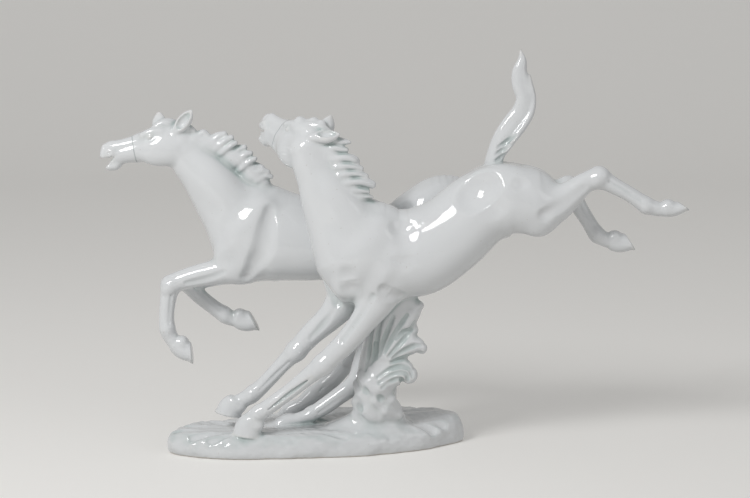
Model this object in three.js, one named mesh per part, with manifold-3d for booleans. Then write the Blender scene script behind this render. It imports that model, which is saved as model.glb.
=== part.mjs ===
// Glazed porcelain figurine of two galloping horses on a low rocky plinth.
// Millimetres. X runs along the group, the horses face -X, Z is up.
// The origin is the middle of the foot that the plinth stands on.
import * as THREE from 'three';
import { mergeVertices } from 'three/addons/utils/BufferGeometryUtils.js';
import Module from 'manifold-3d';

const wasm = await Module();
wasm.setup();

// Driving sizes of the group
const SLIP_GAP = 0.3; // room for the clay slip between two pieces that are luted together
const PLINTH_LENGTH = 196;
const PLINTH_DEPTH = 74;
const PLINTH_SKEW = 0.15; // the oval runs back by this much of the way to the right
const PLINTH_HEIGHT = 15; // under the planted hooves
const PLINTH_RISE = 5; // how much higher the rock is at the back right
const HORSE_SPACING = 42; // from the middle of one horse to the middle of the other
const TUFT_LENGTH = 26; // of the moulded tuft, along the group, at half its height
const TUFT_THICKNESS = 24;
const EAR_LENGTH = 17;
const EAR_WIDTH = 7.5;
const EAR_HOLLOW = 0.62; // of the ear's width is scooped out
const MANE_THICKNESS = 7;

// Full depth (seen from the side) and full width (seen from the front) of the legs
const FORELEG = {
  shoulder: { depth: 29, width: 18 },
  elbow: { depth: 23, width: 18 },
  forearm: { depth: 17.6, width: 15.5 },
  wrist: { depth: 14.8, width: 13.6 },
  knee: { depth: 14, width: 13 },
  cannon: { depth: 10.2, width: 10.2 },
  fetlock: { depth: 11, width: 11.6 },
  pastern: { depth: 10, width: 10.6 },
  coronet: { depth: 11.4, width: 13.2 },
  hoof: { depth: 9, width: 12.6 },
  toe: { depth: 3.4, width: 7.4 },
  plantedHoof: { depth: 15, width: 13.6 },
  sole: { depth: 19, width: 15 },
};
const HINDLEG = {
  hip: { depth: 34, width: 24 },
  thigh: { depth: 34, width: 24 },
  stifle: { depth: 26, width: 20.6 },
  gaskin: { depth: 18.6, width: 16 },
  shank: { depth: 13.6, width: 12.8 },
  hock: { depth: 14.4, width: 12 },
  cannon: { depth: 10, width: 9.8 },
  fetlock: { depth: 10.5, width: 11.2 },
  pastern: { depth: 9.6, width: 10.4 },
  coronet: { depth: 11.4, width: 13.4 },
  hoof: { depth: 9.4, width: 12.8 },
  toe: { depth: 3, width: 7 },
};

// A place along a body: x, height above the plinth, full depth, full width, and how far it lies
// to the side of the horse's own middle
function place(x, z, depth, width, side = 0) {
  return { x, z, depth, width, side };
}

// A place along a leg, named by its joint, with the section that this joint has
function joint(sections, name, x, z, side) {
  return { name, x, z, side, ...sections[name] };
}

const fore = (name, x, z, side) => joint(FORELEG, name, x, z, side);
const hind = (name, x, z, side) => joint(HINDLEG, name, x, z, side);

// The near horse kicks out behind: forelegs reaching to the plinth, hind legs in the air,
// head raised and turned away, tail upright
const kickingHorse = {
  name: 'near_horse',
  middle: -HORSE_SPACING / 2,
  flank: -1,
  barrel: [
    place(14, 100, 16, 18),
    place(18, 106, 38, 32),
    place(28, 113, 58, 41),
    place(44, 116.5, 65, 46),
    place(56, 116, 56, 46.5),
    place(68, 115, 55, 46),
    place(87, 128, 51, 45),
    place(106, 145, 48, 43),
    place(124, 151, 47, 43),
    place(140, 149, 36, 36),
    place(144, 149, 24, 24),
  ],
  neck: [
    place(27, 121, 56, 38),
    place(18, 137, 46, 33),
    place(11, 151, 38, 28),
    place(6, 165, 33, 24),
    place(1, 176, 30, 22),
    place(-3, 184, 25, 20),
  ],
  head: [
    place(4, 187, 21, 19, 0),
    place(-6, 187, 24, 22, 3),
    place(-14, 189, 24, 20, 9),
    place(-22, 193, 18, 16, 16),
    place(-26, 197, 13, 14, 21),
    place(-30, 199, 12, 13, 25),
  ],
  jaw: [
    place(-15, 185, 14, 14, 12),
    place(-21, 187, 9, 11, 17),
    place(-26, 188, 6.5, 9, 21),
    place(-30, 188, 6, 8, 25),
  ],
  neckCut: { x: 14, z: 144, across: [-0.47, 0.88] },
  headCut: { x: -15, z: 171, across: [-0.74, 0.68] },
  muzzleCut: { x: -19.4, z: 191.2, side: 20, across: [-0.56, 0.45], aside: 0.71 },
  legs: {
    left_foreleg: {
      joints: [
        fore('shoulder', 46, 101, -9),
        fore('elbow', 41, 88, -10),
        fore('forearm', 33, 76, -11),
        fore('wrist', 22, 62, -11),
        fore('knee', 6, 46, -11),
        fore('cannon', -13, 31, -11),
        fore('cannon', -25, 22, -11),
        fore('fetlock', -36, 14, -10),
        fore('pastern', -40, 10, -9),
        fore('plantedHoof', -42, 4, -9),
        fore('sole', -42, -5, -9),
      ],
      cut: { x: 37, z: 84, across: [-0.62, -0.78] },
      planted: true,
    },
    right_foreleg: {
      joints: [
        fore('shoulder', 24, 95, 8),
        fore('elbow', 18, 83, 9),
        fore('forearm', 10, 73, 9),
        fore('wrist', -2, 62, 9),
        fore('knee', -12, 51, 9),
        fore('cannon', -22, 41, 9),
        fore('cannon', -32, 30, 9),
        fore('fetlock', -41, 22, 9),
        fore('pastern', -47, 18, 9),
        fore('coronet', -53, 16, 9),
        fore('hoof', -58, 13, 9),
        fore('toe', -64, 11, 9),
      ],
      cut: { x: 16, z: 81, across: [-0.65, -0.76] },
      planted: false,
    },
    left_hindleg: {
      joints: [
        hind('hip', 123, 152, -9),
        hind('thigh', 140, 148, -11),
        hind('stifle', 151, 149, -12),
        hind('gaskin', 161, 155, -13),
        hind('shank', 171, 163, -14),
        hind('hock', 180, 167, -14),
        hind('cannon', 189, 162, -14),
        hind('cannon', 200, 156, -14),
        hind('fetlock', 210, 149, -14),
        hind('pastern', 217, 146, -14),
        hind('coronet', 223, 146, -14),
        hind('hoof', 230, 146, -14),
        hind('toe', 237, 146, -14),
      ],
      cut: { x: 158, z: 153, across: [0.83, 0.56] },
      planted: false,
    },
    right_hindleg: {
      joints: [
        hind('hip', 125, 150, 9),
        hind('thigh', 141, 144, 11),
        hind('stifle', 149, 147, 11),
        hind('gaskin', 156, 154, 12),
        hind('shank', 161, 159, 12),
        hind('hock', 164, 158, 12),
        hind('cannon', 171, 144, 12),
        hind('cannon', 177, 135, 12),
        hind('fetlock', 182, 127, 12),
        hind('pastern', 188, 123, 12),
        hind('coronet', 194, 122, 12),
        hind('hoof', 200, 121, 12),
        hind('toe', 206, 117, 12),
      ],
      cut: { x: 155, z: 152, across: [0.72, 0.69] },
      planted: false,
    },
  },
  tail: [
    place(111, 158, 15, 15),
    place(114, 167, 12.6, 14),
    place(115.5, 176, 12, 13),
    place(120, 187, 13, 13),
    place(127, 197, 14.6, 14),
    place(133, 206, 15, 15),
    place(135, 215, 13, 14),
    place(133, 223, 14, 12),
    place(131, 231, 12, 10),
    place(131, 238, 8, 7),
    place(131, 245, 1.2, 1.6),
  ],
  ears: {
    left_ear: { root: [1, 191, -7], lean: [0.9, 0.06, -0.35] },
    right_ear: { root: [1, 190, 5], lean: [0.6, 0.72, 0.3] },
  },
  forelock: [
    place(2, 198, 8, 9, 1),
    place(-5, 200, 8, 9, 3),
    place(-12, 200, 6, 7, 6),
    place(-16, 200, 2.4, 3, 8),
  ],
  mane: [
    { root: [11, 189], tip: [21, 188], size: 9 },
    { root: [17, 180], tip: [26, 178], size: 10 },
    { root: [23, 170], tip: [31, 170], size: 10 },
    { root: [29, 161], tip: [37, 161], size: 10 },
    { root: [34, 153], tip: [36, 154], size: 8 },
  ],
};

// The far horse leaps: hind legs on the plinth, forelegs folded in the air, head stretched
const leapingHorse = {
  name: 'far_horse',
  middle: HORSE_SPACING / 2,
  flank: 1,
  barrel: [
    place(-63, 114, 15, 18),
    place(-56, 116, 41, 32),
    place(-43, 120, 58, 42),
    place(-27, 122, 61, 46),
    place(-4, 119, 54, 47),
    place(19, 119, 51, 47),
    place(42, 119, 46, 45),
    place(58, 122, 46, 44),
    place(72, 130, 49, 44),
    place(86, 138, 49, 40),
    place(100, 139, 38, 32),
    place(111, 136, 20, 20),
  ],
  neck: [
    place(-48, 131, 55, 36),
    place(-59, 142, 45, 31),
    place(-67, 154, 36, 27),
    place(-75, 165, 30, 24),
    place(-82, 174, 29, 22),
    place(-89, 179, 26, 20),
  ],
  head: [
    place(-87, 181, 21, 19),
    place(-96, 181, 22, 22),
    place(-105, 182, 24, 21),
    place(-114, 180, 20, 18),
    place(-121, 180, 14, 15),
    place(-129, 181, 10, 13),
    place(-136, 180, 10, 13),
    place(-138, 179, 8, 11),
  ],
  jaw: [
    place(-115, 175, 9, 14),
    place(-123, 173, 6.6, 10),
    place(-129, 170, 6, 8.5),
    place(-134, 168, 6.6, 8),
  ],
  neckCut: { x: -62, z: 147, across: [-0.65, 0.76] },
  headCut: { x: -100, z: 170, across: [-0.89, 0.45] },
  muzzleCut: { x: -118.3, z: 180, side: 0, across: [-0.985, -0.17], aside: 0 },
  legs: {
    left_foreleg: {
      joints: [
        fore('shoulder', -43, 113, -8),
        fore('elbow', -49, 103, -9),
        fore('forearm', -61, 100, -10),
        fore('wrist', -76, 97, -10),
        fore('wrist', -87, 94, -10),
        fore('knee', -95, 91, -10),
        fore('cannon', -97, 82, -10),
        fore('cannon', -98, 72, -10),
        fore('fetlock', -98, 62, -10),
        fore('pastern', -95, 54, -10),
        fore('coronet', -91, 48, -10),
        fore('hoof', -86, 44, -10),
        fore('toe', -82, 39, -10),
      ],
      cut: { x: -72, z: 98, across: [-0.98, -0.2] },
      planted: false,
    },
    right_foreleg: {
      joints: [
        fore('shoulder', -44, 110, 8),
        fore('elbow', -52, 100, 9),
        fore('forearm', -64, 96, 10),
        fore('wrist', -78, 92, 11),
        fore('knee', -87, 90, 11),
        fore('cannon', -80, 81, 11),
        fore('cannon', -71, 73, 11),
        fore('fetlock', -61, 66, 11),
        fore('pastern', -54, 64, 11),
        fore('coronet', -48, 63, 11),
        fore('hoof', -44, 61, 11),
        fore('toe', -40, 58, 11),
      ],
      cut: { x: -72, z: 94, across: [-0.96, -0.28] },
      planted: false,
    },
    left_hindleg: {
      joints: [
        hind('hip', 77, 136, -9),
        hind('thigh', 64, 117, -10),
        hind('stifle', 53, 98, -12),
        hind('gaskin', 44, 78, -13),
        hind('shank', 37, 58, -14),
        hind('shank', 31.5, 41, -15),
        hind('hock', 27.5, 26, -16),
        hind('cannon', 17, 18.6, -17),
        hind('cannon', 6, 10.8, -18),
        hind('fetlock', -4, 5.2, -19),
        hind('pastern', -12, 2.6, -20),
        hind('coronet', -20, 1.5, -20),
        hind('hoof', -29, -1, -20),
      ],
      cut: { x: 47, z: 86, across: [-0.41, -0.91] },
      planted: true,
    },
    right_hindleg: {
      joints: [
        hind('hip', 77, 134, 9),
        hind('thigh', 66, 114, 9),
        hind('stifle', 56, 94, 9),
        hind('gaskin', 45, 75, 8),
        hind('shank', 33.5, 57, 7),
        hind('hock', 22, 39.5, 6),
        hind('cannon', 13, 27, 4),
        hind('cannon', 5, 19.5, 2),
        hind('fetlock', -4, 13, 0),
        hind('pastern', -10, 8, -1),
        hind('coronet', -16, 5.5, -1),
        hind('hoof', -23, 2.5, -1),
      ],
      cut: { x: 51, z: 85, across: [-0.47, -0.88] },
      planted: true,
    },
  },
  tail: [
    place(98, 146, 14, 14),
    place(108, 153, 12, 12),
    place(118, 155, 12, 12),
    place(128, 150, 13, 11),
    place(135, 141, 10, 9),
    place(138, 131, 2, 2),
  ],
  ears: {
    left_ear: { root: [-92, 192, -5], lean: [0.62, 0.78, -0.2] },
    right_ear: { root: [-101, 185, 6], lean: [-0.1, 0.98, 0.15] },
  },
  forelock: [
    place(-92, 193, 8, 8, 1),
    place(-98, 196, 8, 8, 1),
    place(-104, 195, 6, 7, 0),
    place(-109, 192, 2.4, 3, 0),
  ],
  mane: [
    { root: [-80, 188], tip: [-74, 191], size: 8 },
    { root: [-72, 184], tip: [-63, 189], size: 10 },
    { root: [-62, 177], tip: [-54, 184], size: 11 },
    { root: [-52, 170], tip: [-43, 176], size: 11 },
    { root: [-43, 162], tip: [-34, 167], size: 11 },
    { root: [-34, 155], tip: [-29, 158], size: 9 },
  ],
};

// How finely the modelled surface is faceted
const BODY_SIDES = 16;
const LEG_SIDES = 10;
const LOCK_SIDES = 7;
const TUFT_SIDES = 12;
const TAIL_SIDES = 9;
const STEPS_PER_PLACE = { body: 1.5, limb: 1.1 };
const CUT_BLOCK = 400; // half side of the block that stands for one side of a cut
const END_SHOULDER = 0.6; // how far a body's rounded end swells out, over half its girth
const END_SHOULDER_GIRTH = 0.7;
const END_TIP = 0.85;

// Turns a closed three.js geometry into a solid that can be joined and cut
function solidFrom(geometry) {
  geometry.deleteAttribute('normal');
  geometry.deleteAttribute('uv');
  const merged = mergeVertices(geometry, 1e-4);
  return new wasm.Manifold(new wasm.Mesh({
    numProp: 3,
    vertProperties: new Float32Array(merged.attributes.position.array),
    triVerts: new Uint32Array(merged.index.array),
  }));
}

// Skin of a row of rings, closed at both ends by a fan to a middle point
function ringedSolid(rings, startPoint, endPoint) {
  const sides = rings[0].length;
  const points = rings.flat();
  const faces = [];
  for (let ring = 0; ring + 1 < rings.length; ring += 1) {
    for (let side = 0; side < sides; side += 1) {
      const next = (side + 1) % sides;
      const here = ring * sides;
      const above = here + sides;
      faces.push(here + side, above + side, above + next);
      faces.push(here + side, above + next, here + next);
    }
  }
  const start = points.push(startPoint) - 1;
  const end = points.push(endPoint) - 1;
  const last = (rings.length - 1) * sides;
  for (let side = 0; side < sides; side += 1) {
    const next = (side + 1) % sides;
    faces.push(start, side, next);
    faces.push(end, last + next, last + side);
  }
  const geometry = new THREE.BufferGeometry().setFromPoints(points);
  geometry.setIndex(faces);
  return solidFrom(geometry);
}

// One oval ring across the way that the body runs
function ovalRing(centre, along, depth, width, sides) {
  const sideways = new THREE.Vector3(0, 1, 0);
  sideways.addScaledVector(along, -along.y).normalize();
  const upward = new THREE.Vector3().crossVectors(along, sideways);
  const ring = [];
  for (let side = 0; side < sides; side += 1) {
    const angle = (2 * Math.PI * side) / sides;
    ring.push(centre.clone()
      .addScaledVector(upward, (Math.cos(angle) * depth) / 2)
      .addScaledVector(sideways, (Math.sin(angle) * width) / 2));
  }
  return ring;
}

// A swelling and tapering body with rounded ends through the given places
function flowingBody(places, middle, sides, grow = 0) {
  const centres = places.map((at) => new THREE.Vector3(at.x, middle + at.side, PLINTH_HEIGHT + at.z));
  const sizes = places.map((at) => new THREE.Vector3(at.depth + 2 * grow, at.width + 2 * grow, 0));
  const path = new THREE.CatmullRomCurve3(centres);
  const girth = new THREE.CatmullRomCurve3(sizes, false, 'catmullrom', 0.5);
  const fineness = sides === BODY_SIDES ? STEPS_PER_PLACE.body : STEPS_PER_PLACE.limb;
  const steps = Math.round((places.length - 1) * fineness);
  const rings = [];
  for (let step = 0; step <= steps; step += 1) {
    const size = girth.getPoint(step / steps);
    const along = path.getTangent(step / steps);
    rings.push(ovalRing(path.getPoint(step / steps), along, size.x, size.y, sides));
  }
  const endCaps = [0, 1].map((end) => {
    const size = girth.getPoint(end);
    const outward = path.getTangent(end).multiplyScalar(end === 0 ? -1 : 1);
    const centre = path.getPoint(end);
    const swell = Math.min(size.x, size.y) / 2;
    const shoulder = centre.clone().addScaledVector(outward, swell * END_SHOULDER);
    const girths = [size.x * END_SHOULDER_GIRTH, size.y * END_SHOULDER_GIRTH];
    const ring = ovalRing(shoulder, path.getTangent(end), ...girths, sides);
    return { ring, tip: centre.clone().addScaledVector(outward, swell * END_TIP) };
  });
  rings.unshift(endCaps[0].ring);
  rings.push(endCaps[1].ring);
  return ringedSolid(rings, endCaps[0].tip, endCaps[1].tip);
}

// Everything on the far side of a luting cut, with half the slip gap left on each side of it
function beyondCut(cut, middle, direction) {
  const across = new THREE.Vector3(cut.across[0], cut.aside ?? 0, cut.across[1]).normalize();
  const outward = across.clone().multiplyScalar(direction);
  const centre = new THREE.Vector3(cut.x, middle + (cut.side ?? 0), PLINTH_HEIGHT + cut.z);
  const block = new THREE.BoxGeometry(2 * CUT_BLOCK, 2 * CUT_BLOCK, 2 * CUT_BLOCK);
  const turn = new THREE.Quaternion().setFromUnitVectors(new THREE.Vector3(0, 0, 1), outward);
  const shift = centre.addScaledVector(outward, CUT_BLOCK + SLIP_GAP / 2);
  block.applyMatrix4(new THREE.Matrix4().compose(shift, turn, new THREE.Vector3(1, 1, 1)));
  return solidFrom(block);
}

// A leg is modelled in two lengths, above and below its knee or hock, and cut in the upper one.
// The root stays on the torso casting; the free leg is a casting of its own.
function legBody(leg, middle, grow = 0) {
  const bend = leg.joints.findIndex((at) => at.name === 'knee' || at.name === 'hock');
  const upper = flowingBody(leg.joints.slice(0, bend + 1), middle, LEG_SIDES, grow);
  const lower = flowingBody(leg.joints.slice(bend), middle, LEG_SIDES, grow);
  const root = upper.intersect(beyondCut(leg.cut, middle, -1));
  const free = upper.intersect(beyondCut(leg.cut, middle, 1)).add(lower);
  return { root, free };
}

// The rocky plinth: a rounded oval slab with an uneven edge, higher at the back right
function plinthBody(lift = 0) {
  const around = 44;
  const riseSlant = 0.6; // how much more the rise follows the length than the depth
  const riseStart = -0.1;
  const riseEnd = 0.7;
  const edge = (angle) => 1 + 0.014 * Math.sin(5 * angle + 1) + 0.01 * Math.sin(9 * angle + 2);
  const outline = (angle, share, height) => {
    const x = (Math.cos(angle) * share * edge(angle) * PLINTH_LENGTH) / 2;
    const y = (Math.sin(angle) * share * edge(angle) * PLINTH_DEPTH) / 2 + PLINTH_SKEW * x;
    const across = y / PLINTH_DEPTH + (riseSlant * x) / PLINTH_LENGTH;
    const rise = PLINTH_RISE * THREE.MathUtils.smoothstep(across, riseStart, riseEnd);
    return new THREE.Vector3(x, y, height * (PLINTH_HEIGHT + rise) + lift);
  };
  const crown = 1.02; // the middle of the top, over its height at the edge
  const levels = [
    { share: 0.965, height: 0 },
    { share: 1, height: 0.25 },
    { share: 0.99, height: 0.62 },
    { share: 0.95, height: 0.9 },
    { share: 0.88, height: 1 },
    { share: 0.5, height: crown },
  ];
  const rings = levels.map((level) => {
    const ring = [];
    for (let step = 0; step < around; step += 1) {
      ring.push(outline((-2 * Math.PI * step) / around, level.share, level.height));
    }
    return ring;
  });
  return ringedSolid(rings, new THREE.Vector3(0, 0, lift), outline(0, 0, crown));
}

// A pointed ear with its hollow facing forward and out. Shares are of its length and width.
const EAR_RINGS = [
  { along: -0.25, girth: 0.55 },
  { along: 0, girth: 0.8 },
  { along: 0.3, girth: 1 },
  { along: 0.65, girth: 0.72 },
  { along: 0.98, girth: 0.12 },
];
const EAR_FOOT = -0.3;
const EAR_OPENING = { forward: -0.55, outward: 0.5, upward: 0.25 };
const EAR_SCOOP_REACH = 0.9;
const EAR_SCOOP_SHIFT = 0.42;

function earBody(ear, middle, grow = 0) {
  const lean = new THREE.Vector3(ear.lean[0], ear.lean[2], ear.lean[1]).normalize();
  const root = new THREE.Vector3(ear.root[0], middle + ear.root[2], PLINTH_HEIGHT + ear.root[1]);
  const shape = (scale, reach) => {
    const rings = EAR_RINGS.map(({ along, girth }) => {
      const centre = root.clone().addScaledVector(lean, along * EAR_LENGTH * reach);
      const size = girth * EAR_WIDTH * scale + 2 * grow;
      return ovalRing(centre, lean, size, size, LOCK_SIDES);
    });
    const foot = root.clone().addScaledVector(lean, EAR_FOOT * EAR_LENGTH * reach);
    const tip = root.clone().addScaledVector(lean, EAR_LENGTH * reach);
    return ringedSolid(rings, foot, tip);
  };
  if (grow > 0) {
    return shape(1, 1);
  }
  const { forward, outward, upward } = EAR_OPENING;
  const open = new THREE.Vector3(forward, Math.sign(ear.root[2]) * outward, upward);
  const scoop = open.multiplyScalar(EAR_WIDTH * EAR_SCOOP_SHIFT);
  const hollow = shape(EAR_HOLLOW, EAR_SCOOP_REACH).translate(scoop.x, scoop.y, scoop.z);
  return shape(1, 1).subtract(hollow);
}

// The mane: wind-blown locks on a ridge that follows the crest of the neck
const LOCK_LEAN = 1.2; // every other lock leans this far to the other side
const LOCK_ARCH = 1.5; // how far the middle of a lock rises above the line from root to tip
const LOCK_BODY = 0.9; // sizes of a lock's middle and tip, over its root
const LOCK_TIP = 0.4;
const LOCK_TIP_WIDTH = 0.5;

function maneBody(horse) {
  const ridge = flowingBody(horse.mane.map((lock) => {
    return place(lock.root[0], lock.root[1], lock.size, MANE_THICKNESS);
  }), horse.middle, LOCK_SIDES);
  const locks = horse.mane.map((lock, index) => {
    const lean = index % 2 === 0 ? LOCK_LEAN : -LOCK_LEAN;
    const rootPlace = place(lock.root[0], lock.root[1], lock.size, MANE_THICKNESS);
    const bodyPlace = place(
      (lock.root[0] + lock.tip[0]) / 2,
      (lock.root[1] + lock.tip[1]) / 2 + LOCK_ARCH,
      lock.size * LOCK_BODY,
      MANE_THICKNESS,
      lean,
    );
    const tipSize = [lock.size * LOCK_TIP, MANE_THICKNESS * LOCK_TIP_WIDTH];
    const tipPlace = place(lock.tip[0], lock.tip[1], ...tipSize, lean);
    return flowingBody([rootPlace, bodyPlace, tipPlace], horse.middle, LOCK_SIDES);
  });
  return locks.reduce((mane, lock) => mane.add(lock), ridge);
}

// The moulded tuft under the near horse's belly: a column with curled lobes on its right side,
// its top cut to the belly, its back to the far horse's leg and its foot to the plinth
const tuft = {
  middle: -15,
  column: [
    place(43, -8, TUFT_LENGTH + 16, TUFT_THICKNESS + 12, 11),
    place(42, 8, TUFT_LENGTH, TUFT_THICKNESS + 2, 10),
    place(42, 25, TUFT_LENGTH - 4, TUFT_THICKNESS - 2, 8),
    place(46, 45, TUFT_LENGTH, TUFT_THICKNESS, 5),
    place(50, 66, TUFT_LENGTH, TUFT_THICKNESS, 2),
    place(54, 84, TUFT_LENGTH, TUFT_THICKNESS, 0),
    place(56, 98, TUFT_LENGTH - 2, TUFT_THICKNESS, 0),
  ],
  lobes: [
    [place(52, 72, 14, 18, 1), place(61, 79, 12, 15, 0), place(67, 82, 8, 9, -2)],
    [place(50, 58, 14, 18, 3), place(60, 63, 12, 15, 2), place(64, 66, 6, 8, 0)],
    [place(50, 46, 14, 18, 5), place(61, 53, 12, 15, 4), place(68, 56, 8, 9, 2)],
    [place(45, 34, 14, 18, 7), place(56, 40, 14, 16, 6), place(61, 42, 9, 10, 5)],
    [place(30, 16, 12, 18, 10), place(25, 8, 12, 15, 9), place(20, 3, 8, 10, 8)],
  ],
};

function tuftBody() {
  const column = flowingBody(tuft.column, tuft.middle, TUFT_SIDES);
  return tuft.lobes.reduce((solid, lobe) => {
    return solid.add(flowingBody(lobe, tuft.middle, LOCK_SIDES));
  }, column);
}

// The horse's torso and legs swollen by the slip gap, for what is cut to fit against them
function seatOnHorse(horse) {
  return Object.values(horse.legs).reduce((seat, leg) => {
    const { root, free } = legBody(leg, horse.middle, SLIP_GAP);
    return seat.add(root).add(free);
  }, flowingBody(horse.barrel, horse.middle, BODY_SIDES, SLIP_GAP));
}

// All the cast pieces of one horse, cut apart where they are luted together
function horsePieces(horse, ground) {
  const { middle } = horse;
  const pieces = {};
  const body = (places, sides, grow) => flowingBody(places, middle, sides, grow);

  const barrel = body(horse.barrel, BODY_SIDES);
  const neck = body(horse.neck, BODY_SIDES);
  const skull = body(horse.head, BODY_SIDES).add(body(horse.jaw, LEG_SIDES));

  const flankBlock = new THREE.BoxGeometry(4 * CUT_BLOCK, 2 * CUT_BLOCK, 4 * CUT_BLOCK);
  flankBlock.translate(0, horse.flank * (CUT_BLOCK + SLIP_GAP / 2), 0);
  const ownSide = solidFrom(flankBlock);

  let torso = barrel.add(neck.intersect(beyondCut(horse.neckCut, middle, -1)));
  Object.values(horse.legs).forEach((leg) => {
    torso = torso.add(legBody(leg, middle).root);
  });
  pieces.torso = torso.intersect(ownSide);

  const neckAndSkull = neck.add(skull);
  const aboveShoulder = neckAndSkull.intersect(beyondCut(horse.neckCut, middle, 1));
  pieces.neck = aboveShoulder.intersect(beyondCut(horse.headCut, middle, -1));
  const face = aboveShoulder.intersect(beyondCut(horse.headCut, middle, 1));
  pieces.head = face.intersect(beyondCut(horse.muzzleCut, middle, -1));
  pieces.muzzle = face.intersect(beyondCut(horse.muzzleCut, middle, 1));

  const grownTorso = body(horse.barrel, BODY_SIDES, SLIP_GAP);
  const grownNeck = body(horse.neck, BODY_SIDES, SLIP_GAP);
  const grownSkull = body(horse.head, BODY_SIDES, SLIP_GAP).add(body(horse.jaw, LEG_SIDES, SLIP_GAP));
  const seats = grownTorso.add(grownNeck).add(grownSkull);

  pieces.mane = maneBody(horse).subtract(seats);
  pieces.tail = body(horse.tail, TAIL_SIDES).subtract(seats);
  let forelock = body(horse.forelock, LOCK_SIDES).subtract(seats);
  Object.entries(horse.ears).forEach(([name, ear]) => {
    pieces[name] = earBody(ear, middle).subtract(seats);
    forelock = forelock.subtract(earBody(ear, middle, SLIP_GAP));
  });
  pieces.forelock = forelock;

  Object.entries(horse.legs).forEach(([name, leg]) => {
    const free = legBody(leg, middle).free.subtract(grownTorso);
    pieces[name] = leg.planted ? free.subtract(ground) : free;
  });
  return pieces;
}

const group = new THREE.Group();
group.name = 'porcelain_horses';

function addPiece(name, solid, colour, roughness) {
  const mesh = solid.getMesh();
  const geometry = new THREE.BufferGeometry();
  geometry.setAttribute('position', new THREE.BufferAttribute(mesh.vertProperties, mesh.numProp));
  geometry.setIndex(new THREE.BufferAttribute(mesh.triVerts, 1));
  geometry.computeVertexNormals();
  const glaze = new THREE.MeshStandardMaterial({ color: colour, roughness, metalness: 0 });
  const piece = new THREE.Mesh(geometry, glaze);
  piece.name = name;
  group.add(piece);
}

const GLAZE_WHITE = 0xdfe4e5;
const GLAZE_SHINE = 0.12;

addPiece('plinth', plinthBody(), GLAZE_WHITE, GLAZE_SHINE);

// What stands on the plinth is cut to its top, and nothing of it reaches lower
const belowTop = new THREE.BoxGeometry(2 * CUT_BLOCK, 2 * CUT_BLOCK, CUT_BLOCK);
belowTop.translate(0, 0, PLINTH_HEIGHT / 2 - CUT_BLOCK / 2);
const ground = plinthBody(SLIP_GAP).add(solidFrom(belowTop));

let support = tuftBody().subtract(ground);
[kickingHorse, leapingHorse].forEach((horse) => {
  support = support.subtract(seatOnHorse(horse));
});
addPiece('support_tuft', support, GLAZE_WHITE, GLAZE_SHINE);

[kickingHorse, leapingHorse].forEach((horse) => {
  Object.entries(horsePieces(horse, ground)).forEach(([name, solid]) => {
    addPiece(`${horse.name}_${name}`, solid, GLAZE_WHITE, GLAZE_SHINE);
  });
});

export default group;
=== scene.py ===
import math

import bpy
import numpy as np
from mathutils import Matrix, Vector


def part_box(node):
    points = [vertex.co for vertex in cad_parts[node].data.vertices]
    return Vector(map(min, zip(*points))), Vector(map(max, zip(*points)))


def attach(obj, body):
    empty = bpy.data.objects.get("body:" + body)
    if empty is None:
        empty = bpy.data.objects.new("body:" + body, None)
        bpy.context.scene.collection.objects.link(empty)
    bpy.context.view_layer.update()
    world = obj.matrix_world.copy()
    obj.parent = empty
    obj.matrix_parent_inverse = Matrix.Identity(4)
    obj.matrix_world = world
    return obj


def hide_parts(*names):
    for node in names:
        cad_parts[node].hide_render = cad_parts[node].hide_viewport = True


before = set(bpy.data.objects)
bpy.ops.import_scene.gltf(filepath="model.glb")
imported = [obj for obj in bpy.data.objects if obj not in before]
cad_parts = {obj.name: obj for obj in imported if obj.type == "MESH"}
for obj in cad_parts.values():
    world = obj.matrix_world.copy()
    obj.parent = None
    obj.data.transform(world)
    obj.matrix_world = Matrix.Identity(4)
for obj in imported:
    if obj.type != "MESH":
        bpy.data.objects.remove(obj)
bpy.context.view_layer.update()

import openvdb
from mathutils import Vector

MM = 0.001


# The photograph's view
# The camera stands 1.3 m before the figurine, a little above it, and looks straight across it.
# Its long lens keeps the near horse and the far one close to one scale, as in the photograph.

VIEW_HEIGHT_ANGLE = math.radians(8.5)
VIEW_DISTANCE = 1300 * MM
VIEW_MIDDLE = Vector((39.3 * MM, 0, 131.1 * MM))
LENS = 96
SENSOR_WIDTH = 36

looking = Vector((0, math.cos(VIEW_HEIGHT_ANGLE), -math.sin(VIEW_HEIGHT_ANGLE)))
camera = bpy.data.objects.new("view", bpy.data.cameras.new("view"))
camera.data.lens = LENS
camera.data.sensor_width = SENSOR_WIDTH
camera.location = VIEW_MIDDLE - looking * VIEW_DISTANCE
camera.rotation_euler = looking.to_track_quat("-Z", "Y").to_euler()
camera.data.clip_start = 0.05
bpy.context.collection.objects.link(camera)
bpy.context.scene.camera = camera


# The plinth
# A rocky oval slab of porcelain, cast in its own mould, with the figures luted on top. The clay is
# held as a distance to its surface on a grid of cells, so that forms melt together as wet clay does.

CELL = 0.75  # of the sampled clay, in millimetres
FAR = 40.0  # what the grid holds where no clay is near
SEEK_STEP = 0.3  # between the places tried where the surface is looked for
PLINTH_TOP = 15.0
PLINTH_RISE = 5.0  # how much higher the rock is at the back right
PLINTH_SKEW = 0.15

foot_low, foot_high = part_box("plinth")
PLINTH_LENGTH = (foot_high.x - foot_low.x) / MM


def melt(a, b, soft):
    """The lesser of two distances, with the corner between them rounded over `soft`."""
    share = np.clip(0.5 + 0.5 * (a - b) / soft, 0, 1)
    return a + (b - a) * share - soft * share * (1 - share)


def to_egg(offsets, radii):
    """The distance to an egg of these radii, about right near its surface."""
    near = np.sqrt(sum((offset / radius) ** 2 for offset, radius in zip(offsets, radii)))
    steep = np.sqrt(sum((offset / radius ** 2) ** 2 for offset, radius in zip(offsets, radii)))
    return near * (near - 1) / np.maximum(steep, 1e-6)


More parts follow.
